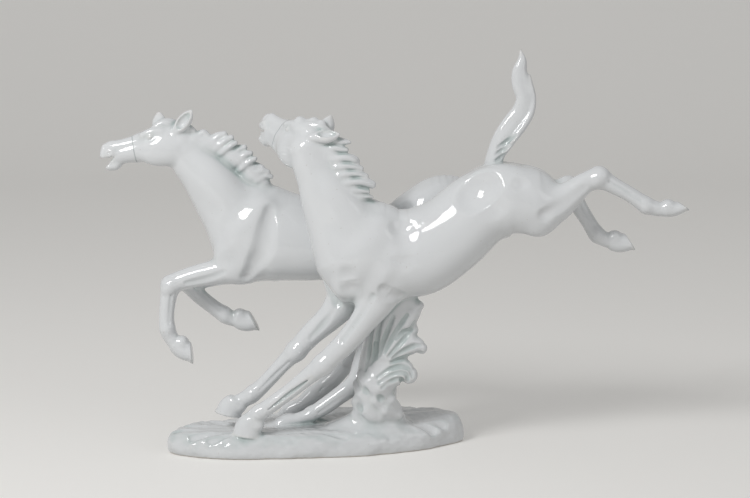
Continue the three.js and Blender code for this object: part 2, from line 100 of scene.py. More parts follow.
class Clay:
    """A block of clay, held as the distance to its surface on a grid of cells."""

    def __init__(self, low, high, cell):
        self.cell = cell
        self.low = np.floor(np.array(low) / cell) * cell
        size = np.ceil((np.array(high) - self.low) / cell).astype(int) + 1
        self.field = np.full(size, FAR, np.float32)
        self.forms = []

    def window(self, low, high, margin):
        """The cells of a box and of a margin round it."""
        first = np.floor((low - margin - self.low) / self.cell).astype(int)
        last = np.ceil((high + margin - self.low) / self.cell).astype(int) + 1
        first = np.clip(first, 0, self.field.shape)
        last = np.clip(last, first, self.field.shape)
        return tuple(slice(a, b) for a, b in zip(first, last))

    def measure(self, form, margin):
        """The cells round a form, with their distance to it."""
        window = self.window(form.low, form.high, margin)
        axes = [self.low[i] + self.cell * np.arange(window[i].start, window[i].stop) for i in range(3)]
        grid = np.stack(np.meshgrid(*axes, indexing="ij"), -1).astype(np.float32)
        distance = form.distance(grid.reshape(-1, 3)).reshape(grid.shape[:3])
        return window, distance

    def add(self, form, soft=2.0, margin=9.0):
        window, distance = self.measure(form, margin)
        self.field[window] = melt(self.field[window], distance, soft)
        self.forms.append(form)

    def press(self, form, soft=1.0, margin=4.0):
        window, distance = self.measure(form, margin)
        self.field[window] = -melt(-self.field[window], distance, soft)

    def at(self, points):
        """The distance at any points, between the cells' corners."""
        place = (points - self.low) / self.cell
        top = np.array(self.field.shape) - 1.001  # just inside the last cells
        outside = ((place < 0) | (place > top)).any(axis=1)
        place = np.clip(place, 0, top)
        low = place.astype(int)
        share = place - low
        total = 0
        for corner in np.ndindex(2, 2, 2):
            weight = np.prod(np.where(corner, share, 1 - share), axis=1)
            index = low + corner
            total = total + weight * self.field[index[:, 0], index[:, 1], index[:, 2]]
        return np.where(outside, FAR, total)

    def surface(self, setting, x, z, start, beside=None, reach=60.0):
        """How far to the side the surface lies, seen from `start`; `beside` where no clay lies."""
        sides = start + np.arange(0, reach, SEEK_STEP)
        values = self.at(setting.place(x, z) + sides[:, None] * setting.side)
        inside = np.flatnonzero(values < 0)
        return sides[inside[0]] if len(inside) else beside

    def score(self, setting, line, start, width, depth, soft=2.0):
        """Presses a valley along a line on the surface, widest and deepest in its middle."""
        places = []
        for index, (x, z) in enumerate(line):
            taper = 0.3 + 0.7 * math.sin(math.pi * (index + 0.5) / len(line))
            across, down = taper * width, taper * depth
            radius = (across ** 2 / 4 + down ** 2) / (2 * down)
            side = self.surface(setting, x, z, start)
            if side is not None:
                places.append((x, z, 2 * radius, 2 * radius, side - radius + down))
        if len(places) > 1:
            self.press(Roll(setting, places), soft=soft, margin=soft + 2)

    def slope(self, points):
        """The way out of the clay at any points."""
        step = 0.8 * self.cell
        rise = [self.at(points + step * axis) - self.at(points - step * axis) for axis in np.eye(3)]
        slope = np.stack(rise, -1) / (2 * step)
        length = np.linalg.norm(slope, axis=1, keepdims=True)
        return slope / np.maximum(length, 1e-6)


class Setting:
    """Where a form is modelled: its origin, and the ways its length, side and height run."""

    def __init__(self, origin, along, up):
        self.origin = np.array(origin, float)
        along = np.array(along, float) / np.linalg.norm(along)
        up = np.array(up, float) - along * np.dot(along, up)
        self.along = along
        self.up = up / np.linalg.norm(up)
        self.side = np.cross(self.up, self.along)

    def place(self, x, z, side=0.0):
        return self.origin + x * self.along + side * self.side + z * self.up


class Roll:
    """A roll of clay that swells and tapers along a smooth curve through its places."""

    STEPS = 6  # between two places
    SLIDE = 0.7  # how many steps the nearest place on the curve may move at once
    CHUNK = 250000  # points measured at once

    def __init__(self, setting, places, egg=0.0, strands=0, groove=0.0, twist=0.0):
        rows = []
        for x, z, depth, width, *side in places:
            rows.append([*setting.place(x, z, *side), depth / 2, width / 2])
        rows = self.smooth(np.array(rows))
        self.centre = rows[:, :3]
        self.half = np.maximum(rows[:, 3:], 0.05)
        along = np.gradient(self.centre, axis=0)
        self.along = along / np.linalg.norm(along, axis=1, keepdims=True)
        side = setting.side - self.along * (self.along @ setting.side)[:, None]
        self.side = side / np.linalg.norm(side, axis=1, keepdims=True)
        self.up = np.cross(self.along, self.side)
        reach = self.half.max(axis=1, keepdims=True)
        self.low = (self.centre - reach).min(axis=0)
        self.high = (self.centre + reach).max(axis=0)
        self.egg, self.strands, self.groove, self.twist = egg, strands, groove, twist

    def smooth(self, rows):
        before = 2 * rows[0] - rows[1]
        after = 2 * rows[-1] - rows[-2]
        rows = np.vstack((before, rows, after))
        curve = []
        for a, b, c, d in zip(rows, rows[1:], rows[2:], rows[3:]):
            for t in np.arange(self.STEPS) / self.STEPS:
                curve.append(0.5 * (2 * b + (c - a) * t + (2 * a - 5 * b + 4 * c - d) * t ** 2
                                    + (3 * b - a - 3 * c + d) * t ** 3))
        return np.array([*curve, rows[-2]])

    def distance(self, points):
        starts = range(0, len(points), self.CHUNK)
        parts = [self.near(points[i:i + self.CHUNK]) for i in starts]
        return np.concatenate(parts) if parts else np.zeros(0, np.float32)

    def near(self, points):
        """The distance, by the nearest place on the curve, which is found by sliding along it."""
        centre = self.centre.astype(np.float32)
        far = (centre ** 2).sum(axis=1) - 2 * points @ centre.T
        last = len(centre) - 1
        spans = np.linalg.norm(np.diff(self.centre, axis=0), axis=1)
        where = far.argmin(axis=1).astype(float)

        def here(table):
            return table[low] * (1 - share) + table[low + 1] * share

        for _ in range(2):
            low = np.minimum(where.astype(int), last - 1)
            share = (where - low)[:, None]
            step = spans[low]
            slide = ((points - here(self.centre)) * here(self.along)).sum(axis=1) / step
            inside = (where > 0) & (where < last)
            moved = where + np.where(inside, np.clip(slide, -self.SLIDE, self.SLIDE), slide)
            where = np.clip(moved, 0, last)
            beyond = (moved - where) * step
        low = np.minimum(where.astype(int), last - 1)
        share = (where - low)[:, None]
        offset = points - here(self.centre)
        up = (offset * here(self.up)).sum(axis=1)
        side = (offset * here(self.side)).sum(axis=1)
        half = here(self.half)
        deep = half[:, 0]
        wide = half[:, 1] * (1 - self.egg * np.clip(up / deep, -1, 1))
        tip = np.minimum(deep, wide)
        distance = to_egg((up, side, beyond), (deep, wide, tip))
        if self.strands:
            angle = np.arctan2(side / wide, up / deep)
            turn = self.twist * 2 * math.pi * where / last
            ridge = np.abs(np.sin(0.5 * self.strands * angle + turn))
            distance = distance + self.groove * (1 - ridge) * np.clip(tip / tip.max(), 0, 1)
        return distance.astype(np.float32)


class Muscle:
    """An egg of clay between two ends, with a half depth and a half width."""

    def __init__(self, setting, start, end, deep, wide):
        a = setting.place(*start)
        b = setting.place(*end)
        self.middle = (a + b) / 2
        length = np.linalg.norm(b - a) / 2
        along = (b - a) / (2 * length)
        sideways = setting.side if abs(along @ setting.side) < 0.9 else setting.along
        side = sideways - along * (along @ sideways)
        side = side / np.linalg.norm(side)
        self.axes = np.stack((along, np.cross(along, side), side))
        self.radii = np.array([length, deep, wide])
        self.low = self.middle - self.radii.max()
        self.high = self.middle + self.radii.max()

    def distance(self, points):
        offset = (points - self.middle) @ self.axes.T
        return to_egg(offset.T, self.radii).astype(np.float32)


def rock_swell(points, size, seed):
    """A smooth wandering between -1 and 1, for the unevenness of modelled rock."""
    random = np.random.default_rng(seed)
    total = 0
    for _ in range(7):
        way = random.normal(size=3)
        way = way / np.linalg.norm(way) / size * random.uniform(0.7, 1.5)
        total = total + np.sin(2 * math.pi * (points @ way) + random.uniform(0, 2 * math.pi))
    return total / 4


class Slab:
    """The oval slab of the plinth, with an uneven edge and a flat foot."""

    SHOULDER = 10.0  # how wide the edge between the rim and the top is rounded
    FOOT_TAPER = 1.6  # how far the rim draws in towards the foot

    low = np.array([-105, -62, -1])
    high = np.array([105, 62, PLINTH_TOP + PLINTH_RISE + 3])
    half_length = PLINTH_LENGTH / 2
    half_depth = 37.0

    def rise(self, x, y):
        """The height of the rock's top, which climbs towards the back right."""
        across = y / (2 * self.half_depth) + 0.6 * x / (2 * self.half_length)
        share = np.clip((across + 0.1) / 0.8, 0, 1)
        return PLINTH_TOP + PLINTH_RISE * share * share * (3 - 2 * share)

    def distance(self, points):
        x, y, z = points.T
        slant = y - PLINTH_SKEW * x
        angle = np.arctan2(slant / self.half_depth, x / self.half_length)
        edge = 0.985 + 0.012 * np.sin(5 * angle + 1) + 0.01 * np.sin(9 * angle + 2)
        near = np.sqrt((x / self.half_length) ** 2 + (slant / self.half_depth) ** 2) / edge
        steep = np.sqrt((x / self.half_length ** 2) ** 2 + (slant / self.half_depth ** 2) ** 2)
        rim = near * (near - 1) / np.maximum(steep, 1e-3)
        rim = rim + self.FOOT_TAPER * (1 - np.clip(z / 5, 0, 1)) ** 2
        rim = rim - 0.8 * rock_swell(points, 26, 3) - 0.42 * rock_swell(points, 11, 4)
        rim = rim - 0.2 * rock_swell(points, 6.5, 7)
        top = z - self.rise(x, y) - 0.5 * rock_swell(points * [0.45, 1.6, 1], 20, 5)
        top = top - 0.3 * rock_swell(points, 8, 6)
        upper = -melt(-rim, -top, self.SHOULDER)
        return -melt(-upper, z, 0.6)


ground = Setting((0, 0, PLINTH_TOP), (1, 0, 0), (0, 0, 1))
rock = Clay((-104, -60, -2), (104, 60, PLINTH_TOP + 12), CELL)
rock.add(Slab(), margin=3)

# A shallow hollow in the front edge at the left, as the thumb leaves it
rock.press(Muscle(ground, (-50, -12, -50), (-44, -6, -48), 4, 3), soft=6, margin=8)

# Furrows in the top like flattened grass: they spread to the left end and run over the right end
from_above = Setting((0, 0, PLINTH_TOP), (1, 0, 0), (0, 1, 0))
FURROWS = [
    [(-44, -8), (-58, -4), (-74, 2), (-86, 10)], [(-46, -13), (-60, -12), (-76, -9), (-89, -4)],
    [(-48, -20), (-62, -20), (-78, -20), (-92, -19)], [(-50, -27), (-64, -29), (-78, -31), (-86, -33)],
    [(-42, 0), (-54, 6), (-66, 12), (-76, 19)], [(-55, -33), (-66, -36), (-76, -38)],
    [(-52, -16), (-64, -16), (-74, -15)], [(-48, -4), (-62, 0), (-72, 6)],
    [(60, 2), (70, 2), (80, 3), (87, 5)], [(62, 9), (70, 10), (78, 13), (83, 16)],
    [(58, -6), (68, -8), (78, -9), (87, -8)], [(56, 16), (66, 19), (75, 24)],
    [(62, -14), (71, -16), (80, -18), (86, -17)], [(54, 24), (62, 28), (68, 32)],
    [(66, -2), (76, -3), (85, -2)], [(64, 5), (74, 7), (82, 10)],
    [(8, -27), (20, -31), (34, -33)], [(-14, -26), (-28, -28), (-38, -27)],
    [(-4, 26), (14, 31), (32, 35)], [(-30, 18), (-12, 22), (6, 24)],
]
RIGHT_END = 40  # beyond it the furrows are fainter
for line in FURROWS:
    depth = 0.24 if line[0][0] > RIGHT_END else 0.45
    rock.score(from_above, line, start=-14, width=3.2, depth=depth, soft=1.6)


# The moulded tuft
# A porcelain bundle of windblown leaves, cast apart and rooted on the plinth. It carries the group
# in the fire, so it is luted to the near horse's belly above and to the far horse's leg behind.

tuft_place = Setting((0, -15, PLINTH_TOP), (1, 0, 0), (0, 0, 1))
tuft = Clay((0, -52, 4), (84, 34, 125), CELL)
tuft.add(Roll(tuft_place, [
    (41, -8, 44, 25, 9), (41, 6, 34, 24, 8), (40, 18, 27, 23, 6), (41, 32, 27, 23, 5),
    (44, 48, 28, 22, 3), (48, 64, 27, 22, 1), (53, 82, 26, 21, 0), (57, 98, 22, 20, 0),
]), soft=3)
LEAVES = [
    [(52, 60, 14, 15, -2), (59, 71, 12, 13, -3), (65, 79, 9, 10, -3), (68.4, 82, 5, 6, -3)],
    [(56, 60, 8, 10, -3), (62, 64.6, 5.5, 7, -3), (65.6, 66, 3, 4, -3)],
    [(50, 52, 15, 16, -3), (59, 56, 14, 14, -4), (66, 56, 11, 11, -4), (69.4, 54.2, 7.4, 8, -4)],
    [(42, 33, 18, 17, -1), (51, 38, 18, 16, -3), (57.6, 38.6, 16, 14, -4), (61.4, 36.6, 11.4, 11, -4)],
]
for places in LEAVES:
    tuft.add(Roll(tuft_place, places), soft=5, margin=8)

# The foot of the tuft: a low mound with the ends of broken leaves on it
for start, end, deep, wide, soft in [
    ((17, 0, 4), (60, 0, 13), 11, 9.6, 6), ((14, -4, 5), (58, -4, 11), 6.4, 10, 6),
    ((8, -2, 8), (40, 0, 10), 6.4, 11, 6),
]:
    tuft.add(Muscle(tuft_place, start, end, deep, wide), soft=soft)
LEAF_ENDS = [
    [(30, 36), (34, 30), (35, 24)], [(36, 33), (40, 27), (41, 20)], [(28, 30), (30, 24), (29, 18)],
    [(43, 29), (47, 23), (48, 16)], [(31, 24), (35, 18), (35, 12)], [(27, 19), (29, 14), (27, 9)],
    [(40, 20), (44, 15), (46, 10)], [(50, 20), (53, 14), (55, 9)], [(34, 13), (38, 10), (42, 9)],
    [(46, 13), (50, 11), (54, 9)],
]
LEAF_GIRTHS = (4.4, 5.6, 3.6)
IN_FRONT = -34  # how far before the middle the surface is looked for from
BESIDE = -4.0  # where a leaf end lies that has no clay behind it
for number, line in enumerate(LEAF_ENDS):
    places = []
    for (x, z), girth in zip(line, LEAF_GIRTHS):
        side = tuft.surface(tuft_place, x, z, IN_FRONT, beside=BESIDE) + 0.6
        places.append((x, z, girth + number % 3, girth, side))
    tuft.add(Roll(tuft_place, places), soft=3.8, margin=6)

# Grooves pressed into the leaves: a fan above, curls like a shell in the lobes
VEINS = [
    [(40, 48), (40, 56), (41, 64), (43, 73)], [(42, 50), (44, 58), (47, 66), (51, 76)],
    [(45, 52), (49, 60), (54, 68), (60, 77)], [(48, 50), (54, 57), (60, 64), (65, 72)],
    [(51, 49), (58, 54), (65, 57), (69, 57)], [(50, 46), (58, 49), (65, 51), (69, 52)],
    [(41, 36), (48, 41), (56, 43.4), (62, 41), (63.6, 36)],
    [(44, 29.6), (50, 33.6), (55.6, 35.2), (57, 32)],
    [(42, 32.6), (49, 37.4), (56, 39.6), (60, 37.6), (60, 33)], [(36, 44), (39, 50), (40, 58)],
    [(33, 40), (35, 50), (36, 60), (38, 70)], [(53, 62), (58, 66), (63, 67)],
]
for line in VEINS:
    tuft.score(tuft_place, line, IN_FRONT, width=3.4, depth=1.5, soft=1.2)

# Shallow pits between the leaf ends
for x, z in [(33, 27), (43, 22), (29, 15)]:
    side = tuft.surface(tuft_place, x, z, IN_FRONT, beside=BESIDE) - 1.1
    tuft.press(Muscle(tuft_place, (x - 1.5, z + 2, side), (x + 1.5, z - 2, side), 1.6, 2), soft=2)


# The horses' bodies
# Each horse is slip-cast in porcelain as a torso, neck, head, muzzle and four legs. A form is a roll
# of clay with muscles laid on it. A place is x, height over the plinth's top, depth, width and how
# far to the horse's right.


def mirrored(start, end):
    """The same two ends on the left and on the right."""
    for hand in (-1, 1):
        yield (start[0], start[1], hand * start[2]), (end[0], end[1], hand * end[2])


def lay_muscles(clay, setting, muscles):
    """Lays muscles on both sides of a horse, each melted in over its own softness."""
    for start, end, deep, wide, soft in muscles:
        for here, there in mirrored(start, end):
            clay.add(Muscle(setting, here, there, deep, wide), soft=soft, margin=soft + 2)


class Hoof:
    """A hoof: a cone from the coronet to a flat sole, its front wall longer than its heel."""

    BOW = 1.3  # how far the front wall bulges
    ROUND = 8  # how far the walls may reach beyond the corners

    def __init__(self, setting, front_top, back_top, toe, heel, side, top_width=10.5, sole_width=13.0):
        self.bulb = [0.58 * b + 0.26 * h + 0.16 * f for b, h, f in zip(back_top, heel, front_top)]
        corners = [setting.place(x, z, side) for x, z in (front_top, back_top, toe, heel)]
        front_top, back_top, toe, heel = corners
        self.top = (front_top + back_top) / 2
        self.sole = (toe + heel) / 2
        self.along = (self.sole - self.top) / np.linalg.norm(self.sole - self.top)
        self.side = setting.side
        self.across = np.cross(self.along, self.side)
        self.edges = [[self.flat(a), self.flat(b)] for a, b in ((front_top, toe), (back_top, heel))]
        slant = toe - heel
        normal = np.cross(slant, self.side)
        self.sole_way = normal / np.linalg.norm(normal) * np.sign(normal @ self.along)
        self.length = np.linalg.norm(self.sole - self.top)
        self.widths = (top_width / 2, sole_width / 2)
        points = np.array([*corners])
        self.low = points.min(axis=0) - self.ROUND
        self.high = points.max(axis=0) + self.ROUND

    def flat(self, point):
        """A point seen from the side: how far down the hoof and how far across it."""
        offset = point - self.top
        return offset @ self.along, offset @ self.across

    def distance(self, points):
        offset = points - self.top
        down = offset @ self.along
        across = offset @ self.across
        side = offset @ self.side
        lines = []
        for (u0, q0), (u1, q1) in self.edges:
            lines.append(q0 + (q1 - q0) * np.clip((down - u0) / (u1 - u0), -0.5, 2.0))
        bow = self.BOW * np.sin(math.pi * np.clip(down / self.length, 0, 1))
        lines[0] = lines[0] + bow * np.sign(lines[0] - lines[1])
        half = np.maximum(np.abs(lines[0] - lines[1]) / 2, 0.4)
        middle = (lines[0] + lines[1]) / 2
        share = np.clip(down / self.length, -0.2, 1.4)
        wide = self.widths[0] + (self.widths[1] - self.widths[0]) * share
        wall = to_egg((across - middle, side), (half, wide))
        sole = (points - self.sole) @ self.sole_way
        closed = -melt(-wall, -sole, 0.9)
        return -melt(-closed, down + 1.0, 2.5)


def cannon_tendons(clay, setting, knee, fetlock, side, half_width):
    """A shallow groove on each side of the cannon, between the bone and the tendon behind it."""
    way = (fetlock[0] - knee[0], fetlock[1] - knee[1])
    length = math.hypot(*way)
    back = (-way[1] / length * 1.2, way[0] / length * 1.2)
    for hand in (-1, 1):
        places = []
        for share, size in ((0.18, 0.6), (0.5, 1.8), (0.85, 0.6)):
            x = knee[0] + way[0] * share + back[0]
            z = knee[1] + way[1] * share + back[1]
            places.append((x, z, size, size, side + hand * (half_width + 0.15)))
        clay.press(Roll(setting, places), soft=1.4)


def leg(clay, setting, upper, lower, hoof, bend_size, fetlock_at, side):
    """The two lengths of a leg, with the joint between them, the fetlock and the hoof."""
    first = len(clay.forms)
    clay.add(Roll(setting, upper), soft=7, margin=12)
    clay.add(Roll(setting, lower), soft=3, margin=7)
    x, z = lower[0][0], lower[0][1]
    for hand in (-1, 1):
        start, end = (x - 3, z + 3, side + hand * 2.4), (x + 3, z - 3, side + hand * 2.4)
        clay.add(Muscle(setting, start, end, bend_size, 4.6), soft=2.5, margin=4)
    fx, fz = fetlock_at
    clay.add(Muscle(setting, (fx - 4, fz, side), (fx + 4, fz, side), 5.0, 5.9), soft=2.5, margin=4)
    cannon_tendons(clay, setting, lower[0][:2], fetlock_at, side, lower[2][3] / 2)
    clay.add(hoof, soft=1.1, margin=3)
    bx, bz = hoof.bulb
    for hand in (-1, 1):
        bulb_side = side + hand * 1.9
        bulb = Muscle(setting, (bx - 3.4, bz, bulb_side), (bx + 3.4, bz, bulb_side), 3.2, 3.6)
        clay.add(bulb, soft=2.6, margin=4)
    return clay.forms[first:]


def head_setting(poll, yaw, pitch, middle, lean=0.0):
    """Where a head is modelled: x runs from the poll to the lips, z to the forehead."""
    yaw, pitch = math.radians(yaw), math.radians(pitch)
    along = (-math.cos(pitch) * math.cos(yaw), math.cos(pitch) * math.sin(yaw), math.sin(pitch))
    return Setting((poll[0], middle + poll[2], PLINTH_TOP + poll[1]), along, (0, lean, 1))


def head_forms(clay, at, gape, deep=1.0):
    """A horse's head; `gape` is how far the mouth opens, `deep` its depth over the usual."""

    def roll(places, **shape):
        return Roll(at, [(x, deep * z, deep * high, *rest) for x, z, high, *rest in places], **shape)

    def pair(start, end, half_depth, half_width):
        for here, there in mirrored(start, end):
            here, there = (here[0], deep * here[1], here[2]), (there[0], deep * there[1], there[2])
            yield Muscle(at, here, there, deep * half_depth, half_width)

    clay.add(roll([
        (0, -8, 20, 17), (8, -8, 24.4, 19.6), (16, -7.6, 23, 18.6), (22, -7.4, 20.6, 16.4),
        (29, -7.4, 17.8, 13.8), (36, -7.2, 15.6, 11.8), (42, -7.2, 15.8, 10.4),
        (46.4, -6.9, 15.8, 9.2), (49.6, -6.5, 13.2, 7.6),
    ], egg=0.08), soft=5)
    for muscle in pair((1, -12.6, 6), (26, -12, 5), 8.4, 5.2):
        clay.add(muscle, soft=4, margin=6)  # cheek
    for muscle in pair((15.6, -0.8, 9.8), (20.4, -1.6, 9.3), 1.6, 1.0):
        clay.press(muscle, soft=2.4, margin=4)  # eye socket
    for muscle in pair((16.4, -1.4, 7.6), (19.8, -2, 7.3), 1.1, 1.2):
        clay.add(muscle, soft=1, margin=3)  # eyeball
    brow = [(11, 0.8, 3, 4), (15.4, 1.8, 3.2, 4.4), (19.4, 1.6, 2.8, 3.8), (23, 0.6, 2, 3)]
    for hand in (-1, 1):
        clay.add(roll([(*place, hand * 5.2) for place in brow]), soft=4, margin=5)
    for muscle in pair((42.6, -5.4, 4), (49.6, -6.8, 3.9), 2.5, 2):
        clay.add(muscle, soft=2, margin=3)  # wing of the nostril
    for muscle in pair((45.4, -6, 6.4), (48.6, -6.2, 6), 1, 1.1):
        clay.press(muscle, soft=0.8, margin=3)  # nostril
    for muscle in pair((27, -3.2, 8), (42, -4.2, 6.4), 1.8, 1.4):
        clay.press(muscle, soft=3, margin=5)  # the hollow along the side of the nose
    upper, lower = (51, -7.4 * deep), (49.6, -14.6 * deep)
    clay.add(Muscle(at, (*upper, -3.9), (*upper, 3.9), 2.5, 2.5), soft=1.6, margin=3)  # upper lip
    clay.add(Muscle(at, (*lower, -3.6), (*lower, 3.6), 2.6, 2.4), soft=1.4, margin=3)  # lower lip
    chin = Muscle(at, (41, -14.4 * deep, 0), (50, -15.4 * deep, 0), 3 * deep, 3.8)
    clay.add(chin, soft=2.2, margin=3)
    between_jaws = roll([(6, -23, 6, 4.4), (16, -21.4, 5, 4.4), (27, -18.4, 2.6, 3.4)])
    clay.press(between_jaws, soft=2)
    lips = -9 * deep
    clay.press(Roll(at, [  # the mouth, widening to the lips
        (45, lips, 0.8, 22), (47.6, lips - 0.3 - 0.16 * gape, 0.5 * gape, 22),
        (51, lips - 0.5 - 0.3 * gape, gape, 22), (57, lips - 0.7 - 0.4 * gape, 1.7 * gape, 22),
    ]), soft=0.6, margin=3)


def ear(clay, setting, root, lean, opening, size=1.0, length=1.0):
    """A leaf-shaped ear with its hollow to one side."""
    origin = setting.place(root[0], root[1], root[2])
    along = lean[0] * setting.along + lean[1] * setting.up + lean[2] * setting.side
    open_way = opening[0] * setting.along + opening[1] * setting.up + opening[2] * setting.side
    at = Setting(origin, along, open_way)
    outside = [(-3.5, 0, 5, 5), (0, 0, 6.6, 6.6), (4.5, 0, 7.8, 8.8), (9, 0, 7.2, 8.8),
               (13, 0.5, 4.8, 6.4), (16, 1, 2, 2.8)]
    hollow = [(2, 3.8, 2.4, 3), (5, 3.4, 5.4, 5.2), (9, 3.2, 5.4, 5.4), (12.6, 2.8, 3.8, 3.6),
              (14.6, 2.4, 1.4, 1.4)]
    form = Roll(at, [(length * x, z, deep, size * wide) for x, z, deep, wide in outside])
    clay.add(form, soft=1.5, margin=4)
    scoop = Roll(at, [(length * x, z, deep, size * wide) for x, z, deep, wide in hollow])
    clay.press(scoop, soft=0.6, margin=3)
    return [form]


def lock(clay, setting, places, strands=3, groove=0.4, twist=0.25):
    """A lock of hair, grooved between its strands."""
    form = Roll(setting, places, strands=strands, groove=groove, twist=twist)
    clay.add(form, soft=1.5, margin=4)
    return form


# The near horse
# White porcelain, slip-cast, at the front of the group and luted to the tuft under its belly.
# It kicks out behind: forelegs to the plinth, hind legs in the air, head raised and turned away.

MIDDLE_NEAR = -21.0
BARREL_EGG = 0.14  # how much narrower the barrel is at the spine than at the belly
NECK_EGG = -0.1  # the neck is wider at its crest than at the throat

near_at = Setting((0, MIDDLE_NEAR, PLINTH_TOP), (1, 0, 0), (0, 0, 1))
near = Clay((-75, -52, 8), (246, 26, 268), CELL)

near.add(Roll(near_at, [  # barrel
    (27, 112, 56, 41), (42, 116, 64.6, 46), (56, 115.8, 57, 46.5), (70, 118, 55, 46),
    (88, 129.4, 51, 45), (106, 145, 48, 43), (123, 151, 47, 43), (139, 149, 36, 35),
], egg=BARREL_EGG), soft=2)
near.add(Muscle(near_at, (52, 136, 0), (80, 140.4, 0), 6.4, 12), soft=6)  # the dip of the back
near.add(Roll(near_at, [  # neck
    (27, 121, 56, 38), (18, 137, 46, 33), (11, 151, 38, 28), (6, 165, 33, 24), (1, 176, 30, 22),
    (-3, 184, 25, 20),
], egg=NECK_EGG), soft=12, margin=13)
near_face = head_setting((1, 192.2, 0), yaw=50, pitch=13, middle=MIDDLE_NEAR, lean=0.12)
head_forms(near, near_face, gape=2.4, deep=1.2)
forehead = Muscle(near_face, (-4, 1.6, 0), (18, 2.6, 0), 5.4, 8)
near.add(forehead, soft=4, margin=5)
for x, z, side, size in [(-8.4, 200.8, 7, 2.9), (0.6, 200.6, 3, 3.0), (5.4, 199.4, 0, 2.6)]:
    knob = Muscle(near_at, (x - 3, z - 0.4, side), (x + 3, z + 0.4, side), size, size)
    near.add(knob, soft=2.4, margin=4)  # hair pushed up by the wind
lower_jaw = [(14, -18, 9, 12), (24, -18.6, 9, 11), (34, -17, 7.6, 9), (41, -15.8, 6, 7)]
near.add(Roll(near_face, lower_jaw), soft=4, margin=5)

near_legs = {}
near_legs["left_foreleg"] = leg(near, near_at,
    [(46, 101, 29, 18, -9), (41, 88, 23, 18, -10), (33, 76, 17.6, 15.5, -11),
     (22, 62, 14.8, 13.6, -11), (6, 46, 13, 12.4, -11)],
    [(6, 46, 13, 12.4, -11), (-4, 38, 11, 10.6, -11), (-15, 29, 10, 9.8, -11), (-27, 20, 10, 10, -11),
     (-35, 14, 10.6, 11.2, -10), (-39, 10.5, 11, 11.6, -9)],
    Hoof(near_at, (-45.4, 13), (-33.2, 9), (-53, 0.2), (-34.2, -2), side=-9,
         top_width=12.6, sole_width=15.6),
    bend_size=7.0, fetlock_at=(-36, 14), side=-10)
near_legs["right_foreleg"] = leg(near, near_at,
    [(24, 95, 29, 18, 8), (18, 83, 23, 18, 9), (10, 73, 17.6, 15.5, 9), (-2, 62, 14.8, 13.6, 9),
     (-12, 51, 13, 12.4, 9)],
    [(-12, 51, 13, 12.4, 9), (-20, 43, 10.6, 10.4, 9), (-31, 31, 10, 9.8, 9),
     (-40, 22.5, 10.8, 11.4, 9), (-47, 18.5, 10, 10.4, 9), (-50, 17.5, 9, 10, 9)],
    Hoof(near_at, (-55.4, 22.6), (-46.4, 15), (-65.8, 10.8), (-48, 6.8), side=9,
         top_width=11.4, sole_width=13.6),
    bend_size=7.0, fetlock_at=(-41, 22.6), side=9)
near_legs["left_hindleg"] = leg(near, near_at,
    [(123, 152, 34, 24, -9), (140, 148, 34, 24, -11), (151, 149, 26, 20.6, -12),
     (161, 155, 18.6, 16, -13), (171, 163, 13.6, 12.8, -14), (180, 167, 13.4, 12, -14)],
    [(180, 167, 13.4, 12, -14), (189, 162, 10.6, 10.2, -14), (200, 156, 9.6, 9.6, -14),
     (210, 149.5, 10.4, 11, -14), (217, 147, 9.4, 10, -14), (222, 146.4, 8.6, 9.4, -14)],
    Hoof(near_at, (219.7, 141.4), (222.1, 151), (238, 146.2), (230.5, 151.6), side=-14),
    bend_size=6.2, fetlock_at=(210, 149), side=-14)
near_legs["right_hindleg"] = leg(near, near_at,
    [(125, 150, 34, 24, 9), (138, 146, 34, 24, 11), (148, 148, 26, 20.6, 11),
     (156, 153, 18.6, 16, 12), (163, 158.4, 13.4, 12.6, 12)],
    [(164, 158, 13, 12, 12), (170, 146, 10.6, 10.2, 12), (177, 135, 9.6, 9.6, 12),
     (182, 127.5, 10.4, 11, 12), (188, 123.5, 9.4, 10, 12), (192, 122.4, 8.6, 9.4, 12)],
    Hoof(near_at, (189.7, 116.6), (192.1, 128), (207.6, 116.7), (200.5, 127.6), side=12),
    bend_size=6.2, fetlock_at=(182, 127), side=12)

lay_muscles(near, near_at, [
    ((44, 140, 12), (24, 102, 14), 10, 8, 7),  # shoulder blade
    ((25, 112, 13), (17, 90, 12), 8, 6, 4),  # point of the shoulder
    ((55, 126, 14), (38, 92, 13.4), 10, 8, 5),  # back of the upper arm
    ((112, 166, 11), (152, 146, 12.4), 15, 10.6, 8),  # thigh
    ((132, 168, 7), (153, 156, 9), 8, 8.6, 5),  # buttock
    ((100, 162, 9), (124, 169, 9), 7, 8, 6),  # croup
    ((136, 133, 13), (152, 143, 13), 8, 6, 5),  # stifle
    ((30, 133, 11), (8, 165, 7), 9, 7, 9),  # neck behind the throat
])
for start, end in [((12.5, 114, -6), (21, 86, -7)), ((9.5, 114, 6), (15, 86, 7))]:
    near.add(Muscle(near_at, start, end, 6.4, 6.4), soft=3, margin=6)  # breast
between_breasts = [(3.8, 122, 3, 3, 0), (4.6, 110, 5, 4, 0), (8.6, 96, 6, 4.6, 0), (15, 84, 5.4, 4, 0)]
near.press(Roll(near_at, between_breasts), soft=3)
NEAR_FRONT = -32  # as IN_FRONT, for the near horse
breast_to_arm = [(20.6, 105), (21.6, 100), (23, 95)]
near.score(near_at, breast_to_arm, NEAR_FRONT, width=9, depth=1.1, soft=4)
